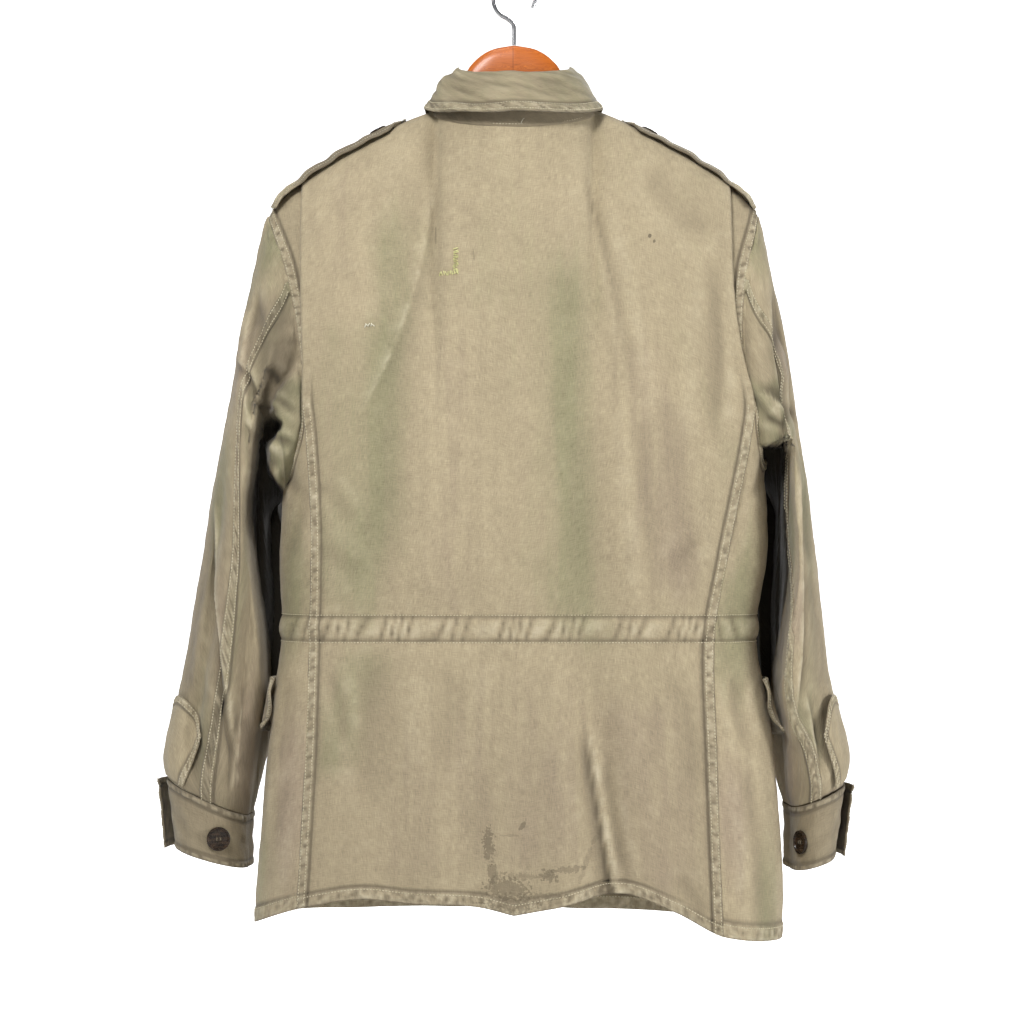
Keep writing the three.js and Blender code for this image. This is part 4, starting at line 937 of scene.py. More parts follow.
# %% Helpers for node trees
class Tree:
    def __init__(self, tree):
        self.tree = tree

    def make(self, kind, inputs=None, **settings):
        node = self.tree.nodes.new(kind)
        for key, value in settings.items():
            setattr(node, key, value)
        for key, value in (inputs or {}).items():
            if isinstance(value, bpy.types.NodeSocket):
                self.tree.links.new(value, node.inputs[key])
            else:
                node.inputs[key].default_value = value
        return node

    def sum(self, operation, a, b=0.0, clamp=False):
        return self.make("ShaderNodeMath", {0: a, 1: b}, operation=operation, use_clamp=clamp).outputs[0]

    def mix(self, factor, a, b, blend="MIX"):
        """Mixes two colours."""
        node = self.make("ShaderNodeMix", {0: factor, 6: a, 7: b}, data_type="RGBA", blend_type=blend)
        return node.outputs[2]

    def noise(self, vector, scale, detail=3.0, roughness=0.55):
        settings = {"Vector": vector, "Scale": scale, "Detail": detail, "Roughness": roughness}
        return self.make("ShaderNodeTexNoise", settings).outputs["Fac"]

    def stretch(self, vector, scale):
        return self.make("ShaderNodeVectorMath", {0: vector, 1: scale}, operation="MULTIPLY").outputs[0]

    def between(self, value, low, high):
        node = self.make("ShaderNodeMapRange", {0: value, 1: low, 2: high, 3: 0.0, 4: 1.0})
        node.interpolation_type = "SMOOTHSTEP"
        return node.outputs[0]

    def attribute(self, name):
        return self.make("ShaderNodeAttribute", attribute_name=name).outputs["Fac"]


def effect(name, inputs, outputs):
    """An empty node group with its sockets: returns the group, its tree helper, and its two ends."""
    group = bpy.data.node_groups.new(name, "ShaderNodeTree")
    for label, kind, value in inputs:
        socket = group.interface.new_socket(label, in_out="INPUT", socket_type="NodeSocket" + kind)
        if value is not None:
            socket.default_value = value
    for label, kind in outputs:
        group.interface.new_socket(label, in_out="OUTPUT", socket_type="NodeSocket" + kind)
    tree = Tree(group)
    return group, tree, tree.make("NodeGroupInput").outputs, tree.make("NodeGroupOutput").inputs


def finish_effect(tree, pairs):
    for source, target in pairs:
        tree.tree.links.new(source, target)


# %% [markdown]
# ## The weave
# Cotton sateen is woven so that most of the warp lies on top: it looks smooth, with thin broken lines down
# the cloth and a few thicker yarns across it. Two stretched noises along and across the UV map give those
# yarns, at less than a millimetre, and a third, larger one gives the soft puckers that washing leaves.

# %% Weave group
weave_group, t, given, wanted = effect(
    "sateen_weave",
    [("Yarns per metre", "Float", 900.0), ("Yarn length", "Float", 14.0)],
    [("Yarns", "Float"), ("Puckers", "Float"), ("Seam puckers", "Float")],
)
cloth_map = t.make("ShaderNodeUVMap", uv_map="cloth").outputs[0]
along = t.sum("DIVIDE", given["Yarns per metre"], given["Yarn length"])
down = t.make("ShaderNodeCombineXYZ", {0: given["Yarns per metre"], 1: along, 2: 0.0}).outputs[0]
across = t.make("ShaderNodeCombineXYZ", {0: along, 1: given["Yarns per metre"], 2: 0.5}).outputs[0]
warp = t.noise(t.stretch(cloth_map, down), 1.0, 1.5)
weft = t.noise(t.stretch(cloth_map, across), 1.0, 1.5)
yarns = t.sum("ADD", t.sum("MULTIPLY", warp, 0.55), t.sum("MULTIPLY", weft, 0.45))
puckers = t.noise(cloth_map, 95.0, 4.0, 0.6)
ladder = t.noise(cloth_map, 175.0, 1.0, 0.4)
finish_effect(t, [(yarns, wanted["Yarns"]), (puckers, wanted["Puckers"]), (ladder, wanted["Seam puckers"])])
print("weave group:", len(weave_group.nodes), "nodes")

# %% [markdown]
# ## The faded dye
# The cloth was dyed olive drab. Sun and washing took the green first, so it is now a warm khaki with greener
# stripes where folds kept the light off, and a mauve cast where it faded most. The green attribute says where
# those places are, from -1 for mauve to 1 for green. Seams that rub go pale, and the valleys of their puckers
# are painted dark as shade. The attribute for dirt and painted shade darkens the cloth towards a dark brown.
# Part of that is dirt. Part is painted shade in creases and valleys, beside seams, under the straps and the
# collar, and deepest under the arms, where sleeve and side lie against each other. Past HOLLOW_FROM it stands
# in for the shadow of those hollows and ends nearly black. That is a painted shade, which no light lifts:
# deeper folds would be the truer way.

# %% Dye group
YARN_CONTRAST = 1.35
LIGHTNESS_SHIFT = 0.035  # keeps the mean lightness at this contrast
HOLLOW_FROM, HOLLOW_FULL = 1.6, 3.0  # dirt and painted shade that start and end the fade to the hollows' painted shadow colour
dye_group, t, given, wanted = effect(
    "faded_dye",
    [
        ("Khaki", "Color", (0.4, 0.34, 0.22, 1)),
        ("Green", "Color", (0.3, 0.29, 0.16, 1)),
        ("Mauve", "Color", (0.4, 0.32, 0.24, 1)),
        ("Pale", "Color", (0.6, 0.54, 0.4, 1)),
        ("Dark", "Color", (0.14, 0.115, 0.08, 1)),
        ("Painted hollow shadow", "Color", (0.02, 0.016, 0.01, 1)),
        ("Yarns", "Float", 0.5),
        ("Puckers", "Float", 0.5),
    ],
    [("Color", "Color")],
)
place = t.make("ShaderNodeTexCoord").outputs["Object"]
cloud = t.noise(t.stretch(place, (7.0, 7.0, 2.2)), 1.0, 4.0)
streak = t.noise(t.stretch(place, (110.0, 110.0, 7.0)), 1.0, 3.0)
mottle = t.noise(place, 42.0, 5.0, 0.65)
green = t.sum("ADD", t.attribute("green"), t.sum("MULTIPLY", t.sum("SUBTRACT", cloud, 0.5), 1.0))
green = t.sum("ADD", green, t.sum("MULTIPLY", t.sum("SUBTRACT", streak, 0.5), 0.9))
colour = t.mix(t.between(green, 0.05, 1.0), given["Khaki"], given["Green"])
colour = t.mix(t.between(green, -0.1, -1.0), colour, given["Mauve"])
lightness = t.sum("ADD", t.sum("MULTIPLY", given["Yarns"], YARN_CONTRAST), t.sum("MULTIPLY", mottle, 0.3))
lightness = t.sum("ADD", lightness, t.sum("MULTIPLY", streak, 0.3))
lightness = t.sum("ADD", lightness, LIGHTNESS_SHIFT)
shade = t.make("ShaderNodeCombineColor", {0: lightness, 1: lightness, 2: lightness}).outputs[0]
colour = t.mix(1.0, colour, shade, "MULTIPLY")
seam = t.attribute("seam")
rubbed = t.sum("MULTIPLY", t.attribute("worn"), t.between(mottle, 0.3, 0.7))
rubbed = t.sum("ADD", rubbed, t.sum("MULTIPLY", seam,
                                    t.sum("MULTIPLY", t.between(given["Puckers"], 0.48, 0.7), 0.22)))
colour = t.mix(t.sum("MULTIPLY", rubbed, 0.75), colour, given["Pale"])
# Darkening towards the dark colour: partly dirt, and partly painted shade in creases, valleys, hollows and
# beside seams.
soiled_and_shaded = t.sum("MULTIPLY", t.attribute("grime_and_shade"), t.sum("ADD", 0.5, t.sum("MULTIPLY", mottle, 0.5)))
# Painted shade in the valleys of the seams' puckers.
pucker_shade = t.sum("MULTIPLY", seam, t.sum("MULTIPLY", t.between(given["Puckers"], 0.52, 0.3), 0.25))
soiled_and_shaded = t.sum("ADD", soiled_and_shaded, pucker_shade, clamp=True)
colour = t.mix(t.sum("MULTIPLY", soiled_and_shaded, 0.72), colour, given["Dark"])
# Painted shadow: past HOLLOW_FROM the cloth fades to a near black.
hollow_shadow_share = t.between(t.attribute("grime_and_shade"), HOLLOW_FROM, HOLLOW_FULL)
colour = t.mix(hollow_shadow_share, colour, given["Painted hollow shadow"])
finish_effect(t, [(colour, wanted["Color"])])

# %% [markdown]
# ## Stains
# The back has a few old stains above the hem and two dark specks below the shoulder. Each is an ellipse in
# the upright plane with a ragged edge, behind the shoulder line only, so that it doesn't print through to
# the front.

# %% Stain group
stain_group, t, given, wanted = effect(
    "stain",
    [("X", "Float", 0.0), ("Z", "Float", 0.0), ("Half width", "Float", 0.01), ("Half height", "Float", 0.01),
     ("Lean", "Float", 0.0), ("Ragged", "Float", 0.5), ("Grain", "Float", 260.0)],
    [("Mask", "Float")],
)
place = t.make("ShaderNodeTexCoord").outputs["Object"]
spot = t.make("ShaderNodeSeparateXYZ", {0: place}).outputs
rise = t.sum("SUBTRACT", spot["Z"], given["Z"])
aside = t.sum("SUBTRACT", t.sum("SUBTRACT", spot["X"], given["X"]), t.sum("MULTIPLY", rise, given["Lean"]))
dx = t.sum("DIVIDE", aside, given["Half width"])
dz = t.sum("DIVIDE", rise, given["Half height"])
reach = t.sum("SQRT", t.sum("ADD", t.sum("MULTIPLY", dx, dx), t.sum("MULTIPLY", dz, dz)))
rough = t.make("ShaderNodeTexNoise", {"Vector": place, "Scale": given["Grain"], "Detail": 4.0}).outputs["Fac"]
reach = t.sum("ADD", reach, t.sum("MULTIPLY", t.sum("SUBTRACT", rough, 0.5),
                                  t.sum("MULTIPLY", given["Ragged"], 4.0)))
mask = t.sum("SUBTRACT", 1.0, t.between(reach, 0.8, 0.98))
mask = t.sum("MULTIPLY", mask, t.sum("GREATER_THAN", spot["Y"], 0.02))
finish_effect(t, [(mask, wanted["Mask"])])

# %% [markdown]
# ## The cloth's material
# The shader itself stays in the material: matt, with the faint sheen that brushed cotton has. The weave
# feeds a fine bump and the puckers a wider one.

# %% Sateen
KHAKI = (0.385, 0.318, 0.205, 1)
OLIVE = (0.262, 0.24, 0.14, 1)
MAUVE = (0.345, 0.275, 0.19, 1)
PALE = (0.6, 0.53, 0.38, 1)
DIRT_AND_SHADE = (0.095, 0.075, 0.05, 1)
STAINS = [
    # x, z, half width, half height, lean, ragged, grain, strength; lengths in millimetres
    (-128, -249, 1.8, 2.4, 0, 0.25, 260, 0.75),
    (-132, -254, 1.4, 1.8, 0, 0.25, 260, 0.65),
    (24, -820, 5, 16, 0.05, 0.8, 420, 0.5),
    (20, -848, 5, 12, 0.1, 0.5, 300, 0.42),
    (6, -862, 21, 11, 0.3, 0.7, 330, 0.46),
    (4, -876, 24, 8, 0, 1.0, 420, 0.4),
    (-32, -849, 9, 6, 0.2, 0.6, 330, 0.46),
    (-52, -843, 16, 3.5, -2.2, 0.7, 300, 0.4),
    (-28, -868, 20, 3, -1.5, 0.9, 360, 0.36),
    (-8, -850, 26, 3, 0.4, 1.1, 420, 0.3),
    (-8, -803, 2.6, 5, -0.5, 0.5, 300, 0.5),
    (2, -812, 9, 1.2, 0, 0.6, 300, 0.25),
    (-68, -836, 3, 26, -0.4, 0.8, 260, 0.24),
    (-79, -868, 14, 9, 0, 1.1, 260, 0.2),
    (20, -800, 34, 46, 0, 0.8, 120, 0.07),
    (74, -249, 0.9, 9, 0, 0.3, 200, 0.4),
    (38, -268, 0.8, 7, 0.1, 0.3, 200, 0.35),
]
YARNS_PER_METRE = 1700
YARN_LENGTH = 14  # in yarns


def sateen(name, stains=()):
    material, shader = new_material(name)
    t = Tree(material.node_tree)
    weave = t.make("ShaderNodeGroup")
    weave.node_tree = weave_group
    weave.inputs["Yarns per metre"].default_value = YARNS_PER_METRE
    weave.inputs["Yarn length"].default_value = YARN_LENGTH
    dye = t.make("ShaderNodeGroup")
    dye.node_tree = dye_group
    for label, value in zip(("Khaki", "Green", "Mauve", "Pale", "Dark"), (KHAKI, OLIVE, MAUVE, PALE, DIRT_AND_SHADE)):
        dye.inputs[label].default_value = value
    t.tree.links.new(weave.outputs["Yarns"], dye.inputs["Yarns"])
    t.tree.links.new(weave.outputs["Seam puckers"], dye.inputs["Puckers"])
    colour = dye.outputs["Color"]
    for x, z, wide, high, lean, ragged, grain, strength in stains:
        spot = t.make("ShaderNodeGroup")
        spot.node_tree = stain_group
        for label, value in zip(("X", "Z", "Half width", "Half height"), (x, z, wide, high)):
            spot.inputs[label].default_value = value * MM
        for label, value in zip(("Lean", "Ragged", "Grain"), (lean, ragged, grain)):
            spot.inputs[label].default_value = value
        colour = t.mix(t.sum("MULTIPLY", spot.outputs["Mask"], strength), colour, DIRT_AND_SHADE)
    t.tree.links.new(colour, shader.inputs["Base Color"])
    tucks = t.sum("MULTIPLY", weave.outputs["Seam puckers"], t.sum("MULTIPLY", t.attribute("seam"), 1.6))
    height = t.sum("ADD", weave.outputs["Puckers"], tucks)
    bump = t.make("ShaderNodeBump", {"Height": height, "Distance": 0.002, "Strength": 0.7})
    fine = t.make("ShaderNodeBump", {"Height": weave.outputs["Yarns"], "Distance": 0.0005, "Strength": 0.7,
                                     "Normal": bump.outputs[0]})
    t.tree.links.new(fine.outputs[0], shader.inputs["Normal"])
    shader.inputs["Roughness"].default_value = 0.86
    shader.inputs["Sheen Weight"].default_value = 0.12
    shader.inputs["Sheen Roughness"].default_value = 0.5
    shader.inputs["Specular IOR Level"].default_value = 0.25
    return material


faded_sateen = sateen("faded_sateen")
stained_sateen = sateen("stained_sateen", STAINS)

# %% [markdown]
# ## The waist channel
# A cord runs through a sewn channel at the waist and gathers it. Between its two rows of stitching the
# cloth puffs out in slanted tucks, and above and below it short folds run out of the rows.

# %% Channel relief
CHANNEL_PUFF = 3.2
BACK_GATHERS, FRONT_GATHERS = 26, 13


def add_channel(panel, phase, keep=1.0):
    level = level_of(panel.v)
    share = (level - CHANNEL_LOW) / (CHANNEL_HIGH - CHANNEL_LOW)
    inside = (share > 0) & (share < 1)
    wander = phase + 0.5 * np.sin(phase * 1.7) + 0.5 * np.sin(phase * 0.63 + 1)
    tuck = np.abs(np.sin(math.pi * (wander + 0.5 * share)))
    crumple = 0.25 * ripples(panel.width, panel.height, 5, 11)
    puff = CHANNEL_PUFF * np.sin(math.pi * np.clip(share, 0, 1)) ** 0.8 * (0.3 + 0.7 * tuck**0.8)
    panel.relief += keep * np.where(inside, puff + crumple * np.sin(math.pi * np.clip(share, 0, 1)), 0)
    outside = np.where(level > CHANNEL_HIGH, level - CHANNEL_HIGH, np.maximum(CHANNEL_LOW - level, 0))
    reach = 13 + 9 * ripples(phase, phase * 0, 3, 12)
    folds = 0.85 * (tuck - 0.55) * np.exp(-outside / np.maximum(reach, 5))
    panel.relief += keep * np.where(inside | (panel.v > 1.2), 0, folds)
    rows = (
        np.exp(-((outside / 1.4) ** 2)) * ~inside
        + np.exp(-((np.minimum(share, 1 - share) * 23 / 2.2) ** 2)) * inside
    )
    panel.relief -= keep * 0.35 * rows
    # Painted shade along the stitch rows and in the low cloth between the tucks.
    panel.grime_and_shade += keep * (0.6 * rows + 0.7 * inside * (1 - tuck) ** 2)
    panel.worn += keep * 0.35 * inside * tuck**3 * np.sin(math.pi * np.clip(share, 0, 1))


def body_rows(step):
    low = [(HEM_LEVEL, 12, 1.6), ((CHANNEL_LOW + CHANNEL_HIGH) / 2, 17, 1.5)]
    levels = grade(HEM_LEVEL, CHEST_LEVEL, step, low)
    return np.concatenate([rise_of(levels[:-1]), grade(1, 2, step / 385, [(2, 0.035, 1.6 / 385)])])


def from_axis(grid):
    return grid * np.array([1, 1, 0])


# %% [markdown]
# ## The back
# One wide panel from hem to neck. Above the chest its side edges are the folds of two action pleats, which
# spread when the wearer reaches forward. Below the chest they are felled to the fronts. The creases are the
# ones in the photograph, by their places on the real back: a long sharp one right of the middle, soft ones
# along the right fold and the left shoulder blade, and the skirt's diagonal.

# %% Back panel
BACK_CREASES = [
    # x0, z0, x1, z1, width, depth, bow, skew
    (-68, -196, -112, -410, 5, 1.5, 5, 1.5),
    (-112, -400, -132, -600, 13, 2.2, 3, 1.3),
    (-190, -268, -186, -450, 9, 2.4, 4, 0.7),
    (-124, -178, -190, -252, 16, 2.4, -6, 1.2),
    (-138, -395, -166, -610, 15, 1.8, 3, 1.0),
    (-84, -742, -106, -860, 6, 1.6, -3, 1.0),
    (-150, -660, -172, -780, 12, 1.5, 4, 1.0),
    (128, -640, 136, -800, 16, 2.2, -4, 1.2),
    (175, -655, 158, -730, 7, 1.3, 3, 1.0),
    (60, -650, 72, -760, 14, 1.4, 3, 1.0),
    (186, -480, 150, -520, 8, 1.1, 3, 1.0),
    (186, -540, 142, -575, 9, 1.1, 3, 1.0),
    (-178, -530, -140, -575, 8, 1.0, -3, 1.0),
    (70, -140, 96, -260, 18, 1.6, -5, 1.0),
    (20, -860, 70, -885, 7, 0.9, 2, 1.0),
    (-150, -850, -180, -890, 8, 1.4, 2, 1.0),
]
BACK_SHARP_FOLDS = [
    # x0, z0, x1, z1, width and side, depth, bow
    (-69, -716, -99, -905, -10, 6.0, 0),
    (-68, -190, -108, -404, -12, 1.1, 5),
    (74, -180, 140, -410, 26, 1.5, 14),
]
GREEN_STREAKS = [
    # x at the top, x at the bottom, from, to, half width, strength
    (112, 142, -200, -620, 24, 0.95),
    (170, 178, -300, -620, 14, 0.45),
    (-48, -62, -260, -640, 20, 0.8),
    (-150, -205, -330, -470, 18, 0.5),
    (-190, -200, -450, -620, 16, 0.55),
    (140, 170, -640, -760, 26, 0.75),
    (10, 14, -150, -420, 26, 0.25),
]
MAUVE_ZONES = [
    (150, 160, -170, -330, 34, -0.55),
    (60, 56, -330, -640, 30, -0.6),
    (-20, -14, -640, -860, 60, -0.6),
    (-140, -150, -330, -600, 34, -0.65),
    (-130, -140, -680, -880, 44, -0.75),
    (90, 96, -700, -860, 30, -0.4),
]


def add_dye(panel, table):
    for x_top, x_low, top, low, half, strength in table:
        share = (top - panel.z) / (top - low)
        away = (
            panel.x - lerp(x_top, x_low, np.clip(share, 0, 1)) + 3 * ripples(panel.x * 0.4, panel.z, 150, 23)
        )
        ends = smooth(share, -0.12, 0.15) * (1 - smooth(share, 0.82, 1.12))
        patchy = 0.85 + 0.12 * ripples(panel.x, panel.z * 0.3, 60, 24)
        panel.green += strength * ends * patchy * np.exp(-((away / half / 1.3) ** 2))


back_columns = grade(-1.003, 1.003, 3.3 / 200, [(-1, 0.065, 1.3 / 200), (1, 0.065, 1.3 / 200)])
back = Panel("back_cloth", back_surface, back_columns, body_rows(3.3), from_axis)
below_pleats = 1 - smooth(back.v, 1.22, 1.32)
for edge in ("left", "right"):
    add_band(back, edge, 10, 0.95, below_pleats)
    rolled = np.exp(-back.inset(edge) / 1.8) * (1 - below_pleats)
    back.relief -= 1.6 * rolled
    back.worn += 0.3 * rolled
add_band(back, "bottom", 11, 0.5)
add_channel(back, back.u * (BACK_GATHERS / 2))
add_creases(back, BACK_CREASES)
add_folds(back, BACK_SHARP_FOLDS)
add_crumple(back, 21, 0.8, 0.2)
add_dye(back, GREEN_STREAKS + MAUVE_ZONES)
# Darker towards the hem and towards the sides, and a painted shadow along the top beside the shoulders, under
# the straps.
back.grime_and_shade += 0.2 * smooth(-back.z, 560, 760) + 0.14 * np.abs(back.u) ** 3
back.grime_and_shade += 1.1 * np.exp(-((back.inset("top") / 5) ** 2)) * smooth(np.abs(back.u), 0.38, 0.5)
sew(back, stained_sateen, ["back"])

# %% [markdown]
# ## The fronts
# Each front starts at the side seam behind and runs round the side to the middle. The photograph shows only
# the strip behind the side, so the rest is finished plainly, with the same hang and wear.

# %% Front panels
FRONT_EDGE = {"left": 1.0068, "right": 0.9914}
FRONT_CREASES = {
    "left": [
        (212, -660, 226, -760, 9, 2.0, 4, 1.2), (215, -760, 232, -880, 8, 1.6, -4, 1.0),
        (196, -480, 214, -560, 7, 1.8, 3, 1.0), (222, -440, 200, -500, 6, 1.8, -4, 1.3),
    ],
    "right": [
        (-208, -660, -222, -740, 8, 2.0, -4, 1.2), (-215, -740, -232, -900, 9, 2.2, 4, 1.0),
        (-214, -470, -206, -560, 7, 1.6, -3, 1.0), (-240, -440, -222, -500, 6, 1.6, 4, 1.3),
    ],
}
FACE_CREASES = {
    "left": [
        (60, -230, 90, -420, 14, 2.4, 6, 1.2), (150, -330, 120, -560, 16, 2.6, -6, 1.0),
        (70, -660, 86, -860, 15, 3.0, 5, 1.3), (160, -740, 170, -890, 12, 2.2, -4, 1.0),
        (120, -200, 170, -290, 12, 1.8, -5, 1.0),
    ],
    "right": [
        (-66, -240, -84, -450, 15, 2.4, -5, 1.2), (-156, -320, -130, -570, 15, 2.6, 6, 1.0),
        (-78, -650, -92, -840, 15, 2.8, -5, 1.3), (-168, -730, -176, -890, 12, 2.2, 4, 1.0),
        (-116, -196, -172, -280, 12, 1.8, 5, 1.0),
    ],
}
fronts = {}
for side in SIGN:
    columns_of_front = grade(-0.002, FRONT_EDGE[side], 4.2 / 390, [(0, 0.03, 2 / 390), (1, 0.03, 2 / 390)])
    front = Panel(f"front_cloth_{side}", front_surface(side), columns_of_front, body_rows(4.2), from_axis)
    add_channel(front, front.u * FRONT_GATHERS, 1 - smooth(front.u, 0.89, 0.925))
    add_band(front, "bottom", 14, 0.6)
    add_band(front, "top", 10, 0.8, 1 - smooth(front.u, 0.46, 0.5))
    add_creases(front, FRONT_CREASES[side])
    add_creases(front, FACE_CREASES[side], behind=False)
    add_crumple(front, 31 if side == "left" else 41, 0.9, 0.25)
    front.green += 0.5 * ripples(front.width, front.height / 4, 90, 33)
    sew(front, faded_sateen, [f"front_{side}"])
    fronts[side] = front

# %% [markdown]
# ## The pleats' under layers
# Behind each fold lies a second layer that the shoulder's movement pulls out. It runs to the armhole, where a
# felled seam with two rows of stitching joins it to the sleeve.

# %% Pleat under layers
pleats = {}
for side in SIGN:
    across_layer = grade(0, 1, 0.05, [(1, 0.35, 0.022)])
    pleat = Panel(
        f"pleat_layer_{side}", pleat_surface(side), across_layer, grade(0.02, 0.985, 0.012),
        lambda grid: np.array([0, 1, 0.2])
    )
    add_band(pleat, "right", 10, 0.9)
    add_crumple(pleat, 51, 0.5, 0.25)
    # Painted shade: the under layer is darker overall and towards its hidden inner edge, with a painted
    # shadow along its top under the strap.
    pleat.grime_and_shade += (
        0.25 + 0.5 * (1 - smooth(pleat.u, 0.1, 0.6)) + 0.9 * np.exp(-((pleat.inset("top") / 6) ** 2))
    )
    sew(pleat, faded_sateen, [f"pleat_under_{side}"])
    pleats[side] = pleat

# %% [markdown]
# ## The sleeves
# A two-piece sleeve: a long seam down the back of the arm and one down the front, both felled. They hang
# from the armholes and fold under their own weight, deepest behind the elbow. The tables give each sleeve's
# creases as they are seen from behind, and similar ones are placed in front.

# %% Sleeve panels
SLEEVE_CREASES = {
    "left": [
        (247, -300, 238, -420, 8, 3.6, 4, 1.0),
        (300, -560, 312, -700, 10, 3.4, -5, 1.0), (276, -690, 290, -752, 7, 3.0, -4, 1.0),
        (258, -700, 262, -765, 7, 3.0, 3, 1.0), (240, -412, 222, -420, 6, 3.2, 3, 1.0),
        (239, -455, 224, -470, 6, 3.0, 3, 1.0), (318, -690, 300, -770, 8, 3.0, 5, 1.0),
        (232, -372, 222, -392, 5, 2.6, 2, 1.0),
        (236, -432, 206, -446, 4, 2.6, -2, 1.0), (230, -400, 205, -418, 3, 1.6, 2, 1.0),
    ],
    "right": [
        (-246, -330, -262, -480, 9, 4.2, -5, 1.0), (-283, -560, -292, -700, 11, 3.4, 5, 1.0),
        (-272, -690, -286, -760, 7, 3.0, 4, 1.0), (-298, -690, -306, -755, 7, 3.0, -4, 1.0),
        (-270, -410, -252, -430, 6, 3.0, -3, 1.0), (-250, -280, -256, -360, 8, 2.8, 4, 1.0),
        (-290, -470, -286, -560, 10, 2.6, -5, 1.0), (-266, -720, -272, -790, 8, 3.0, 3, 1.0),
        (-226, -398, -246, -430, 4, 2.0, -2, 1.0),
        (-232, -420, -258, -434, 3, 1.8, 2, 1.0),
    ],
}
SLEEVE_SHARP_FOLDS = {
    # x0, z0, x1, z1, width and side, depth, bow
    "left": [
        (284, -510, 262, -745, -13, 9.0, -5), (246, -300, 250, -420, 14, 4.5, -6),
        (262, -690, 270, -775, -9, 4.0, 3), (262, -365, 236, -415, -9, 5.0, 5),
        (252, -425, 232, -470, -8, 4.0, 4),
    ],
    "right": [
        (-268, -470, -266, -700, 12, 6.0, 6), (-244, -300, -262, -440, 12, 5.0, -6),
        (-288, -500, -300, -660, 13, 4.5, 4), (-276, -680, -288, -765, 9, 4.0, 3),
        (-232, -394, -262, -424, 8, 5.0, 3),
    ],
}
SLEEVE_FACE_CREASES = {
    "left": [(262, -420, 268, -600, 12, 3.0, 6, 1.2), (290, -540, 300, -700, 10, 2.6, -5, 1.0),
             (246, -330, 250, -430, 9, 2.2, 4, 1.0), (276, -690, 292, -760, 8, 2.4, 4, 1.0)],
    "right": [(-262, -420, -268, -600, 12, 3.0, -6, 1.2), (-284, -540, -290, -700, 10, 2.6, 5, 1.0),
              (-250, -330, -254, -430, 9, 2.2, -4, 1.0), (-276, -690, -286, -760, 8, 2.4, -4, 1.0)],
}
SEAM_TURN_OVER = 0.4
HOLLOW = {
    # how far down, how far out the outer and inner edges lie, and how deep it is there; all in millimetres
    "left": columns(
        "down edge inner deep", (340, 226, 200, 0), (369, 231, 202, 10), (388, 236, 213, 18),
        (414, 243, 229, 30), (426, 246, 218, 50), (445, 248, 229, 54), (462, 251, 232, 58),
        (488, 256, 219, 58), (520, 257, 190, 58), (565, 252, 190, 58), (632, 244, 190, 58),
        (698, 240, 190, 58), (745, 238, 190, 0),
    ),
    "right": columns(
        "down edge inner deep", (425, 259, 264, 0), (432, 262, 264, 40), (441, 262, 258, 58),
        (447, 262, 240, 58), (453, 264, 200, 58), (515, 268, 200, 58), (578, 269, 200, 58),
        (627, 262, 200, 58), (666, 257, 200, 58), (700, 255, 200, 58), (740, 254, 200, 0),
    ),
}
SEAM_SHIFT = columns("down inward", (380, 0), (400, 3), (515, 3), (578, 4), (627, 12), (678, 19), (704, 16),
                     (730, 7), (784, 2))
ARMPIT_PULL = 11  # under the arm the sleeve bears on the body's side
ALLOWANCE, ALLOWANCE_ROW = 4.5, 0.008  # the sleeve's seam allowance runs in under the armhole's band


def seam_turn(ends, v):
    return lerp(ends[0], ends[1], smooth(v, 0, 0.5))


def fallen_back(side, turn, grid):
    """Where the sleeve's inner side drops away from the light, below the fold under the arm: how deep it
    drops, and where its painted shadow is darkest.
    """
    table, down, out = HOLLOW[side], -grid[..., 2], SIGN[side] * grid[..., 0]
    edge, inner, deep = (read(table, "down", down, name) for name in ("edge", "inner", "deep"))
    inside = (
        smooth(edge - out, 0, 6) * smooth(out - inner, -2, 7)
        * smooth(turn, 35, 60) * (1 - smooth(turn, 205, 245))
    )
    return deep * inside, smooth(edge - out, 3, 9) * smooth(deep, 28, 50) * inside


def sleeve_surface(side, part, folded=True):
    start_of, end_of = (
        (FRONT_SEAM_TURN, BACK_SEAM_TURN) if part == "upper" else (BACK_SEAM_TURN, FRONT_SEAM_TURN)
    )

    def surface(share, v):
        start = seam_turn(start_of, v) - (360 if part == "upper" else 0) - SEAM_TURN_OVER
        end = seam_turn(end_of, v) + SEAM_TURN_OVER
        p = sleeve_point(side, lerp(start, end, share), np.maximum(v, 0))
        under = np.maximum(0, -np.cos(np.radians(lerp(start, end, share))))
        below = smooth(v, 0, 0.03) * (1 - smooth(v, 0.1, 0.22))
        p[..., 0] -= SIGN[side] * (
            ALLOWANCE * np.clip(-v / ALLOWANCE_ROW, 0, 1) + ARMPIT_PULL * under * below
        )
        turn = lerp(start, end, share)
        if side == "right":
            by_seam = np.exp(-(((turn - seam_turn(BACK_SEAM_TURN, np.maximum(v, 0))) / 38) ** 2))
            p[..., 0] += read(SEAM_SHIFT, "down", -p[..., 2], "inward") * by_seam
        floor = np.minimum(p[..., 1], -44)
        if folded:
            p[..., 1] = np.maximum(p[..., 1] - fallen_back(side, turn, p)[0], floor)
        return p

    return surface


def from_sleeve(side):
    def outward(grid):
        rows = SLEEVES[side]
        drop = np.clip((-227 - grid[..., 2]) / 570, 0, 1)
        middle = (np.interp(drop, rows["v"], rows["x_outer"])
                  + np.interp(drop, rows["v"], rows["x_inner"])) / 2
        return grid - points(SIGN[side] * middle, np.interp(drop, rows["v"], rows["y"]), grid[..., 2])

    return outward


